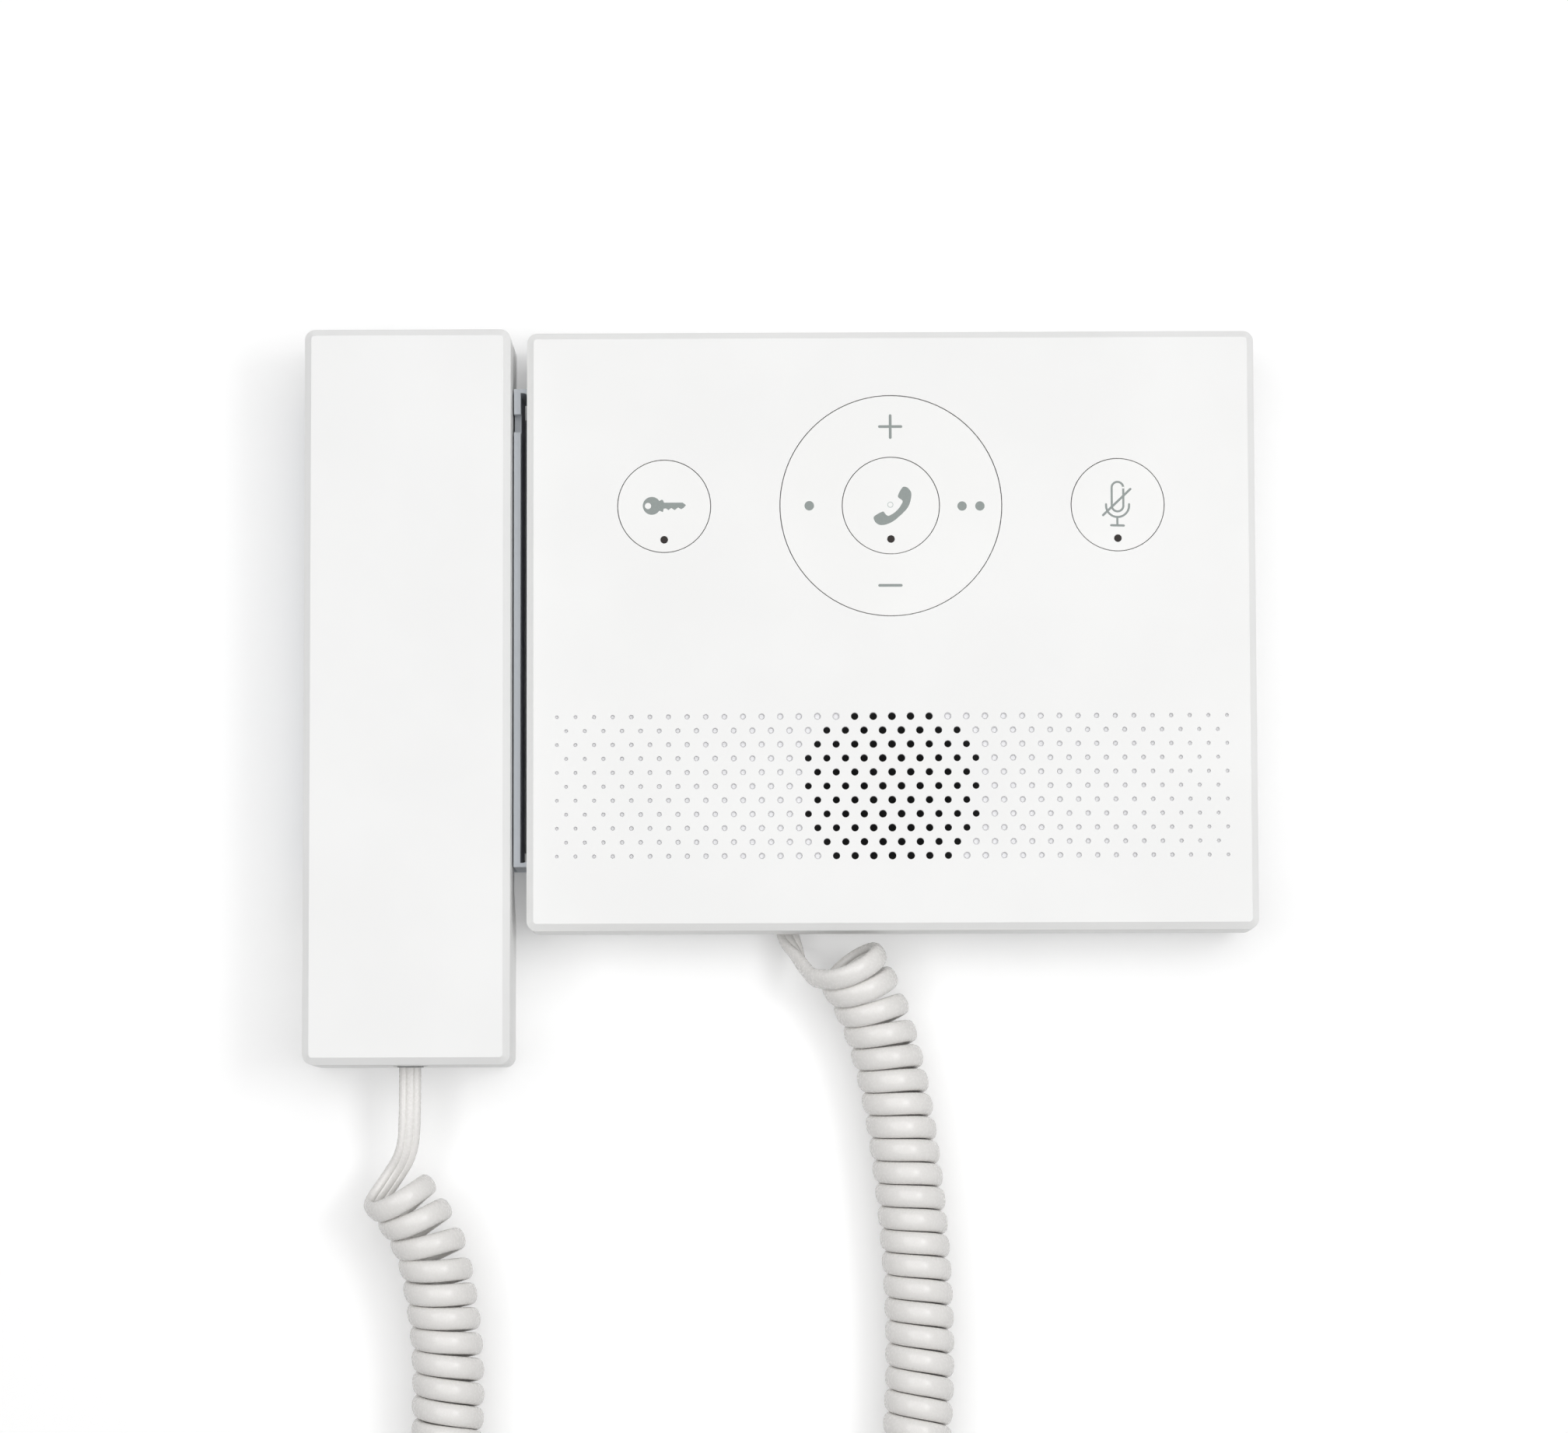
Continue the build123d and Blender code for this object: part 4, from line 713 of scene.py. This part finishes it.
def stroke(points, width):
    """The outline of a pen stroke with round ends."""
    points = [Vector(p) for p in points]
    left, right = [], []
    for i, point in enumerate(points):
        ahead = (points[min(i + 1, len(points) - 1)] - points[max(i - 1, 0)]).normalized()
        across = Vector((-ahead.y, ahead.x)) * width / 2
        left.append(point + across)
        right.append(point - across)
    outline = list(left)
    for ends, point, inner in ((1, points[-1], points[-2]), (-1, points[0], points[1])):
        ahead = (point - inner).normalized()
        across = Vector((-ahead.y, ahead.x))
        turns = [pi * k / 8 for k in range(1, 8)]
        outline += [point + (across * cos(a) + ahead * sin(a)) * width / 2 for a in turns]
        if ends == 1:
            outline += list(reversed(right))
    return [tuple(p) for p in outline]


def key_outline():
    """The key sign: its round head and blade as one outline."""
    centre, radius = np.array((-2.99, 0.11)), 2.17
    first, last = (np.degrees(np.arctan2(*(np.array(key_sign[i]) - centre)[::-1])) for i in (0, -1))
    return key_sign[:-1] + round_points(centre, radius, 360 + last, first, 40)


def signs():
    """Each print's name, node and body, and its outlines with whether they are smooth curves."""
    arch = round_points((-0.02, 4.13), 1.4, 0, 180, 20) + round_points((-0.02, -0.24), 1.4, 180, 360, 20)
    holder = round_points((-0.02, -0.22), 2.78, 180, 360, 30)[1:-1]
    mute_strokes = [
        (arch + [(1.38, 4.13)], 0.5), ([(-2.8, 0.1)] + holder + [(2.76, 0.1)], 0.5),
        ([(-0.1, -3.1), (-0.1, -4.9)], 0.5), ([(-1.59, -5.0), (1.43, -5.09)], 0.55),
        ([(-3.53, -2.54), (3.09, 3.78)], 0.55),
    ]
    ring_strokes = [
        [(-2.67, 19.2), (2.53, 19.2)], [(-0.07, 16.53), (-0.07, 21.87)], [(-2.8, -19.4), (2.4, -19.4)],
    ]
    ring_outlines = [stroke(points, 0.67) for points in ring_strokes]
    dots = (((-19.7, 0), 1.15), ((17.2, -0.2), 1.13), ((21.5, -0.2), 1.13))
    ring_outlines += [round_points(*dot) for dot in dots]
    key_outlines = [key_outline(), round_points((-3.9, 0.08), 0.76)]
    return [
        ("unlock_sign", "unlock_button", "unlock_key", [(key_outlines, False)]),
        ("call_sign", "call_button", "call_key", [([phone_sign], True)]),
        ("mute_sign", "mute_button", "mute_key", [([stroke(*each)], False) for each in mute_strokes]),
        ("ring_signs", "navigation_ring", "ring_cap", [([each], False) for each in ring_outlines]),
    ]


def inlay(shape, outlines, centre, face, smooth=False, lift=0.02 * mm):
    """Adds a thin raised print: one outline, and the outlines of its holes."""
    data = bpy.data.curves.new("outline", "CURVE")
    data.dimensions = "2D"
    data.fill_mode = "BOTH"
    data.extrude = 0.03 * mm
    data.resolution_u = 6
    for points in outlines:
        if smooth:
            spline = data.splines.new("BEZIER")
            spline.bezier_points.add(len(points) - 1)
            for knot, (x, z) in zip(spline.bezier_points, points):
                knot.co = (x * mm, z * mm, 0)
                knot.handle_left_type = knot.handle_right_type = "AUTO"
        else:
            spline = data.splines.new("POLY")
            spline.points.add(len(points) - 1)
            for knot, (x, z) in zip(spline.points, points):
                knot.co = (x * mm, z * mm, 0, 1)
        spline.use_cyclic_u = True
    mesh = curve_mesh(data)
    upright = Matrix.Rotation(pi / 2, 4, "X")
    mesh.transform(Matrix.Translation((centre[0], face - lift + 0.03 * mm, centre[1])) @ upright)
    shape.from_mesh(mesh)


# Curly cord. Route points are x, height off the wall and z, in millimetres, as the part's own.

coil_route = [
    (-11, 17.8, -79.3), (-6.3, 14, -86.9), (-1.9, 12.2, -99), (1.8, 11.5, -116), (5.1, 11.2, -143),
    (6.6, 11, -170), (5.6, 11, -195), (3.4, 11.2, -220), (-16, 11.4, -248), (-51.5, 11.6, -259),
    (-87, 12, -248), (-106.8, 12.3, -221), (-107.9, 12.6, -196), (-107.3, 13.4, -176), (-109, 14.8, -160),
    (-112.3, 16.9, -143.9), (-119.8, 19.3, -134.8),
]
unit_tail = [(-25.5, 6.3, -71.3), (-25.3, 6.6, -73.4), (-23, 10.6, -78.6), (-20.4, 15.4, -82.2)]
handset_tail = [(-116.6, 17.5, -104.8), (-116.6, 17.5, -115.6), (-117.2, 15.9, -125), (-121.4, 13.4, -131.4)]
coil_start_angle = -60
coil_end_angle = 90
tail_lead = 4 * mm
tail_step = 1.5 * mm
to_room = np.array([0.0, -1.0, 0.0])
band_outline = [
    (-0.985, 0.02), (-0.93, 0.3), (-0.82, 0.55), (-0.66, 0.76), (-0.46, 0.9), (-0.23, 0.975), (0, 1),
    (0.23, 0.975), (0.46, 0.9), (0.66, 0.76), (0.82, 0.55), (0.93, 0.3), (0.985, 0.02), (1, -0.25),
    (0.97, -0.55), (0.86, -0.84), (0.68, -0.97), (0.42, -1), (0.34, -0.86), (0.26, -1), (-0.26, -1),
    (-0.34, -0.86), (-0.42, -1), (-0.68, -0.97), (-0.86, -0.84), (-0.97, -0.55), (-1, -0.25),
]


def in_metres(places):
    """Route points as x, y, z in metres."""
    return [Vector((x * mm, -height * mm, z * mm)) for x, height, z in places]


def spline_points(places, resolution=48):
    """Points read from the NURBS spline that these control points give."""
    data = bpy.data.curves.new("route", "CURVE")
    data.dimensions = "3D"
    data.resolution_u = resolution
    spline = data.splines.new("NURBS")
    spline.points.add(len(places) - 1)
    for knot, place in zip(spline.points, places):
        knot.co = (*place, 1)
    spline.order_u = 3
    spline.use_endpoint_u = True
    return np.array([v.co for v in curve_mesh(data).vertices], float)


def unit(vectors):
    """Vectors of length 1."""
    return vectors / np.linalg.norm(vectors, axis=-1, keepdims=True)


def ways_along(points):
    """The direction of travel at each point."""
    return unit(np.gradient(points, axis=0))


def distances(points):
    """How far along the line each point is."""
    steps = np.linalg.norm(np.diff(points, axis=0), axis=1)
    return np.concatenate([[0], np.cumsum(steps)])


def curls_along(axis, settings):
    """The cord's middle line and outward directions in the coil round an axis line."""
    radius, pitch, rings = settings.coil_radius, settings.pitch, settings.rings
    way = ways_along(axis)
    far = distances(axis)
    bend = np.linalg.norm(np.gradient(way, far, axis=0), axis=1)
    bend = np.convolve(np.pad(bend, 20, "edge"), np.ones(41) / 41, "valid")
    rate = (1 - radius * bend) / pitch
    turned = np.concatenate([[0], np.cumsum((rate[1:] + rate[:-1]) / 2 * np.diff(far))])
    extra = (coil_end_angle - coil_start_angle) / 360
    curls = round(turned[-1] - extra) + extra
    turned *= curls / turned[-1]
    shares = np.linspace(0, curls, int(curls * rings) + 1)
    at = np.interp(shares, turned, far)
    centre = np.stack([np.interp(at, far, axis[:, i]) for i in range(3)], axis=1)
    ahead = unit(np.stack([np.interp(at, far, way[:, i]) for i in range(3)], axis=1))
    front = unit(to_room - ahead * (ahead @ to_room)[:, None])
    side = np.cross(front, ahead)
    angle = np.radians(coil_start_angle) + 2 * pi * shares
    outward = front * np.cos(angle)[:, None] + side * np.sin(angle)[:, None]
    loose = settings.loose_start * np.exp(-shares / 2.2)
    loose += settings.loose_end / (1 + np.exp((curls - 16 - shares) / 2))
    return centre + (radius * (1 + loose))[:, None] * outward, outward, curls


def tail_along(points, outward, hold):
    """Outward directions on a tail: as in the coil for a share of it, then turned to lie flat."""
    way = ways_along(points)
    carried = []
    for direction in way:
        outward = unit(outward - direction * (outward @ direction))
        carried.append(outward)
    goal = unit(to_room - way[-1] * (to_room @ way[-1]))
    if goal @ carried[-1] < 0:
        goal = -goal
    turn = np.arctan2(np.cross(carried[-1], goal) @ way[-1], carried[-1] @ goal)
    far = distances(points)
    result = []
    for vector, direction, share in zip(carried, way, far / far[-1]):
        share = max(0, share - hold) / (1 - hold)
        angle = turn * share * share * (3 - 2 * share)
        result.append(vector * cos(angle) + np.cross(direction, vector) * sin(angle))
    return np.array(result)


def evenly(points, step):
    """The line's points again, at an even spacing."""
    far = distances(points)
    at = np.linspace(0, far[-1], max(4, round(far[-1] / step)))
    return np.stack([np.interp(at, far, points[:, i]) for i in range(3)], axis=1)


def cord_line(settings):
    """The whole cord's middle line and outward directions, from the unit to the handset."""
    axis = spline_points(in_metres(coil_route))
    coil, outward, curls = curls_along(axis, settings)
    start_way, end_way = unit(coil[1] - coil[0]), unit(coil[-1] - coil[-2])
    first = spline_points([*in_metres(unit_tail), coil[0] - start_way * tail_lead, coil[0]])
    last = spline_points([*in_metres(handset_tail), coil[-1] + end_way * tail_lead, coil[-1]])
    first, last = evenly(first, tail_step)[::-1], evenly(last, tail_step)[::-1]
    first_out = tail_along(first, outward[0], 0.5)
    last_out = tail_along(last, outward[-1], 0)
    points = np.concatenate([first[:0:-1], coil, last[1:]])
    directions = np.concatenate([first_out[:0:-1], outward, last_out[1:]])
    return points, directions, curls


def band_mesh(name, points, outward, width, thickness):
    """A flat ribbed cord along the points, closed at both ends."""
    way = ways_along(points)
    across = unit(np.cross(way, outward))
    out = np.cross(across, way)
    outline = np.array(band_outline) * (width / 2, thickness / 2)
    places = points[:, None] + across[:, None] * outline[:, 0, None] + out[:, None] * outline[:, 1, None]
    count, sides = places.shape[:2]
    faces = [
        (i * sides + k, i * sides + (k + 1) % sides, (i + 1) * sides + (k + 1) % sides, (i + 1) * sides + k)
        for i in range(count - 1)
        for k in range(sides)
    ]
    faces += [tuple(range(sides)), tuple((count - 1) * sides + k for k in range(sides))]
    mesh = bpy.data.meshes.new("places")
    mesh.from_pydata([tuple(p) for p in places.reshape(-1, 3)], [], faces)
    shape = bmesh.new()
    shape.from_mesh(mesh)
    return outward_mesh(name, shape)


# Stage

light_aim = (-0.03, 0, -0.03)
camera_place = (-0.02005, -1.37273, -0.13912)
camera_turns = ((0.0044, "Z"), (0.0877, "X"), (0.0031, "Y"))
focal_pixels, picture_width = 7200, 2016
sensor_width = 36
wall_gap = 0.0004
# Left, right, lower and upper limits of what the unit and the handset hide of the wall
unit_shade = (-0.086, 0.086, -0.07, 0.07)
handset_shade = (-0.139, -0.094, -0.102, 0.07)


def build_wall(settings, colour):
    """The wall: it can't be seen from behind, and lets the back light through where the part hides it."""
    half = settings.wall_width / 2
    shape = bmesh.new()
    corners = [(-half, -half), (half, -half), (half, half), (-half, half)]
    shape.faces.new([shape.verts.new((x, wall_gap, z)) for x, z in corners])
    wall = in_scene("wall", plain_mesh("wall", shape))
    finish = Finish("wall_paint", roughness=0.9, Specular_IOR_Level=0.1)
    roller = finish.noise(1.5 * mm, detail=3)
    across, up = finish.axis("X"), finish.axis("Z")
    hidden = [
        (across > left) * (across < right) * (up > low) * (up < high)
        for left, right, low, high in (unit_shade, handset_shade)
    ]
    shadow_ray = finish.node("ShaderNodeLightPath", output="Is Shadow Ray")
    behind = finish.node("ShaderNodeNewGeometry", output="Backfacing")
    finish.set(
        Base_Color=finish.mix(roller, darker(colour, 0.995), colour),
        Alpha=(1 - behind) * (1 - shadow_ray * (hidden[0] + hidden[1])),
        Emission_Color=finish.mix(finish.node("ShaderNodeLightPath"), (0, 0, 0), (1, 1, 1)),
        Emission_Strength=settings.wall_glow,
    )
    finish.bump(roller, 0.02 * mm, 0.3)
    wall.data.materials.append(finish.material)
    wall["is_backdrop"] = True


def light_world(world, ambient):
    """A white world, full where it is seen, mirrored or seen through, and dimmer where it lights."""
    studio = ShaderTree(world, "Background")
    seen = studio.node("ShaderNodeLightPath", output="Is Camera Ray")
    for kind in ("Glossy", "Transmission"):
        seen = seen.maths("MAXIMUM", seen, studio.node("ShaderNodeLightPath", output="Is %s Ray" % kind))
    strength = studio.node("ShaderNodeMapRange", {}, {"Value": seen, "To Min": ambient})
    studio.set(Color=(1, 1, 1, 1), Strength=strength)


# Operators


class INTERCOM_OT_casing(bpy.types.Operator):
    """Finishes the main unit's casing and the wall plate"""

    bl_idname = "intercom.casing"
    bl_label = "Casing"

    def execute(self, context):
        colours = context.scene.intercom_colours
        # The casing's finish paints shade into the grille's pits
        casing = finish_of("casing_plastic", moulded_plastic, colours.casing, pit_colour=colours.pits)
        coat(casing, "front_cover", "rear_housing")
        coat(finish_of("plate_plastic", moulded_plastic, colours.plate, 0.6), "wall_plate")
        return {"FINISHED"}


class INTERCOM_OT_keys(bpy.types.Operator):
    """Finishes the push buttons, the four-way ring and the indicator lenses"""

    bl_idname = "intercom.keys"
    bl_label = "Keys and ring"

    def execute(self, context):
        colours = context.scene.intercom_colours
        keys = finish_of("key_plastic", moulded_plastic, colours.keys, 0.44, 0.0025 * mm)
        coat(keys, "unlock_button", "mute_button", "call_button", "navigation_ring")
        lens = finish_of("lens_plastic", polished_plastic, colours.lens, 0.26, 0.15)
        coat(lens, "unlock_lens", "mute_lens", "call_lens")
        coat("carrier_plastic", "ring_carrier")
        return {"FINISHED"}


class INTERCOM_OT_pictograms(bpy.types.Operator):
    """Prints the signs on the keys and the ring"""

    bl_idname = "intercom.pictograms"
    bl_label = "Pictograms"

    def execute(self, context):
        colour = context.scene.intercom_colours.print_ink
        ink = finish_of("key_print", key_print, colour)
        for name, node, body, parts in signs():
            low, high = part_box(node)
            middle = ((low.x + high.x) / 2, keys_height)
            shape = bmesh.new()
            for i, (outlines, smooth) in enumerate(parts):
                inlay(shape, outlines, middle, low.y, smooth, (0.02 - 0.0015 * i) * mm)
            add_piece(name, shape, body, ink)
        shape = bmesh.new()
        mark = [round_points((-0.12, 0.18), radius) for radius in (0.72, 0.56)]
        inlay(shape, mark, (0, keys_height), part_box("call_button")[0].y)
        faint = finish_of("faint_print", key_print, darker(colour, 1.9))
        add_piece("call_mark", shape, "call_key", faint)
        return {"FINISHED"}


class INTERCOM_OT_handset(bpy.types.Operator):
    """Finishes the handset shells and what they hold"""

    bl_idname = "intercom.handset"
    bl_label = "Handset"

    def execute(self, context):
        shells = finish_of("handset_plastic", moulded_plastic, context.scene.intercom_colours.handset)
        coat(shells, "handset_front_shell", "handset_rear_shell")
        coat("seal_rubber", "earpiece_gasket", "mouthpiece_boot")
        coat("earpiece_case", "earpiece_speaker")
        coat("microphone_metal", "mouthpiece_microphone")
        coat("weight_iron", "handset_weight")
        coat("magnet_metal", "handset_magnet")
        coat("handset_wires", "handset_leads")
        return {"FINISHED"}


class INTERCOM_OT_cradle(bpy.types.Operator):
    """Finishes the cradle with its magnet and hook switch"""

    bl_idname = "intercom.cradle"
    bl_label = "Cradle"

    def execute(self, context):
        colour = context.scene.intercom_colours.cradle
        # The cradle's colour holds painted shade as well as its own grey
        coat(finish_of("cradle_plastic", moulded_plastic, colour, 0.55), "handset_cradle")
        coat("magnet_metal", "cradle_magnet")
        coat("board_laminate", "hook_switch")
        return {"FINISHED"}


class INTERCOM_OT_speaker(bpy.types.Operator):
    """Finishes the loudspeaker and the main unit's microphone"""

    bl_idname = "intercom.speaker"
    bl_label = "Speaker and microphone"

    def execute(self, context):
        coat("seal_rubber", "speaker_gasket", "microphone_boot")
        coat("speaker_paint", "speaker_frame")
        coat("cone_paper", "speaker_cone")
        coat("speaker_ferrite", "speaker_magnet")
        coat("speaker_wires", "speaker_leads")
        coat("microphone_metal", "unit_microphone")
        return {"FINISHED"}


class INTERCOM_OT_electronics(bpy.types.Operator):
    """Finishes the circuit board, and adds its components and the sockets' contacts"""

    bl_idname = "intercom.electronics"
    bl_label = "Electronics"

    def execute(self, context):
        coat("board_laminate", "circuit_board")
        coat("switch_plastic", "tact_switches")
        coat("led_epoxy", "indicator_leds")
        coat("shield_steel", "network_socket")
        coat("socket_plastic", "base_cord_socket", "handset_cord_socket")
        coat("cord_wires", "cord_leads")
        low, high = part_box("network_socket")
        shape = bmesh.new()
        for i in range(8):
            x = (low.x + high.x) / 2 + (i - 3.5) * 1.02 * mm - 0.16 * mm
            wire = [(x, low.y + y * mm, low.z + z * mm) for y, z in contact_outline]
            add_prism(shape, wire, (0.32 * mm, 0, 0))
        add_piece("network_contacts", shape, "base", "gilt_contact")
        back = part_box("circuit_board")[1].y / mm
        chips, legs, cans = bmesh.new(), bmesh.new(), bmesh.new()

        for x, z, wide, tall in chip_places:
            board_block(chips, (x, z), (wide / 2, tall / 2), (back + 0.15, back + 1.5), 0.15)
            for i in range(int(wide / pin_pitch) - 1):
                leg_x = x - wide / 2 + pin_pitch * (i + 1)
                board_block(legs, (leg_x, z), (0.2, tall / 2 + 1), (back - 0.01, back + 0.6), 0.05)
        for x, z, radius, tall in can_places:
            profile = [
                (0.98 * radius, 0), (radius, 0.4), (radius, 1.0), (0.93 * radius, 1.2), (0.93 * radius, 1.5),
                (radius, 1.7), (radius, tall - 0.3), (0.9 * radius, tall), (0.1, tall),
            ]
            place = (x * mm, (back - 0.01) * mm, z * mm)
            add_turned(cans, [(r * mm, a * mm) for r, a in profile], place, round_sides)
        add_piece("board_chips", chips, "base", "chip_epoxy")
        add_piece("chip_legs", legs, "base", "shield_steel")
        add_piece("capacitors", cans, "base", "capacitor_can")
        return {"FINISHED"}


class INTERCOM_OT_screws(bpy.types.Operator):
    """Replaces the plain screws with threaded, cross-recessed ones"""

    bl_idname = "intercom.screws"
    bl_label = "Screws"

    def execute(self, context):
        for node in ("case_screws", "circuit_board_screws", "speaker_screws", "cradle_screws"):
            fit_screws(node)
        fit_screws("handset_screws", body="handset")
        fit_screws("locking_screw", axis=2)
        return {"FINISHED"}


class INTERCOM_OT_cord(bpy.types.Operator):
    """Winds the curly cord between its two clear plugs"""

    bl_idname = "intercom.cord"
    bl_label = "Curly cord"

    def execute(self, context):
        settings = context.scene.intercom_cord
        plugs = plug_pieces("base_cord_plug", "unit_plug", "base")
        plugs += plug_pieces("handset_cord_plug", "handset_plug", "handset")
        points, outward, curls = cord_line(settings)
        mesh = band_mesh("curly_cord_band", points, outward, settings.width, settings.thickness)
        jacket = finish_of("cord_jacket", cord_jacket, context.scene.intercom_colours.cord)
        cord = new_piece("curly_cord_band", mesh, None, jacket, 60)
        print("cord", round(distances(points)[-1], 4), "m,", round(curls, 3), "curls")
        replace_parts(cord, "curly_cord")
        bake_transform(cord)
        return {"FINISHED"}


class INTERCOM_OT_stage(bpy.types.Operator):
    """Builds the wall, the lights and the camera"""

    bl_idname = "intercom.stage"
    bl_label = "Stage"

    def execute(self, context):
        scene = context.scene
        settings = scene.intercom_stage
        build_wall(settings, scene.intercom_colours.wall)
        side = settings.side_power
        for name, power, size, place in (
            ("front_light", settings.key_power, (2.3, 1.7), (0.06, -1.6, 0.1)),
            ("left_light", 0.3 * side, (0.35, 0.6), (-0.8, -1.35, 0.06)),
            ("right_light", 0.7 * side, (0.35, 0.5), (0.75, -1.4, 0.06)),
        ):
            lamp = bpy.data.lights.new(name, "AREA")
            lamp.shape = "RECTANGLE"
            lamp.size, lamp.size_y = size
            lamp.energy = power
            holder = in_scene(name, lamp)
            holder.location = place
            holder.rotation_euler = (Vector(light_aim) - Vector(place)).to_track_quat("-Z", "Y").to_euler()
            holder.visible_camera = False
        lamp = bpy.data.lights.new("back_light", "SUN")
        lamp.energy = settings.back_strength
        lamp.angle = radians(1)
        in_scene("back_light", lamp).rotation_euler = (-pi / 2, 0, 0)
        scene.world = bpy.data.worlds.new("studio")
        light_world(scene.world, settings.ambient)
        lens = bpy.data.cameras.new("camera")
        lens.sensor_fit = "HORIZONTAL"
        lens.sensor_width = sensor_width
        lens.lens = sensor_width * focal_pixels / picture_width
        lens.clip_start, lens.clip_end = 0.05, 20
        camera = in_scene("camera", lens)
        turn = Matrix.Identity(3)
        for angle, letter in camera_turns:
            turn = turn @ Matrix.Rotation(angle, 3, letter)
        right, ahead, up = turn.col
        basis = Matrix((right, up, -ahead)).transposed().to_4x4()
        camera.matrix_world = Matrix.Translation(camera_place) @ basis
        scene.camera = camera
        scene.view_settings.view_transform = "Standard"
        return {"FINISHED"}


class INTERCOM_PT_panel(bpy.types.Panel):
    """Lists the intercom's building steps"""

    bl_label = "Intercom"
    bl_idname = "INTERCOM_PT_panel"
    bl_space_type = "VIEW_3D"
    bl_region_type = "UI"
    bl_category = "Intercom"

    def draw(self, context):
        for step in steps:
            self.layout.operator(step.bl_idname)
        scene = context.scene
        for group in (scene.intercom_colours, scene.intercom_cord, scene.intercom_stage):
            for name in group.bl_rna.properties.keys()[2:]:
                self.layout.prop(group, name)


steps = (
    INTERCOM_OT_casing,
    INTERCOM_OT_keys,
    INTERCOM_OT_pictograms,
    INTERCOM_OT_handset,
    INTERCOM_OT_cradle,
    INTERCOM_OT_speaker,
    INTERCOM_OT_electronics,
    INTERCOM_OT_screws,
    INTERCOM_OT_cord,
    INTERCOM_OT_stage,
)
classes = (IntercomColours, IntercomCord, IntercomStage, *steps, INTERCOM_PT_panel)


def register():
    """Registers the classes and the settings."""
    for each in classes:
        bpy.utils.register_class(each)
    bpy.types.Scene.intercom_colours = PointerProperty(type=IntercomColours)
    bpy.types.Scene.intercom_cord = PointerProperty(type=IntercomCord)
    bpy.types.Scene.intercom_stage = PointerProperty(type=IntercomStage)


def unregister():
    """Removes the settings and the classes."""
    del bpy.types.Scene.intercom_stage
    del bpy.types.Scene.intercom_cord
    del bpy.types.Scene.intercom_colours
    for each in reversed(classes):
        bpy.utils.unregister_class(each)


def main():
    """Builds everything in order."""
    register()
    for step in steps:
        getattr(bpy.ops.intercom, step.bl_idname.split(".")[1])()
    boxes = {"cad": cad_bounds, "visual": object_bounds()}
    boxes = {name: [list(corner) for corner in corners] for name, corners in boxes.items()}


if __name__ == "__main__":
    main()
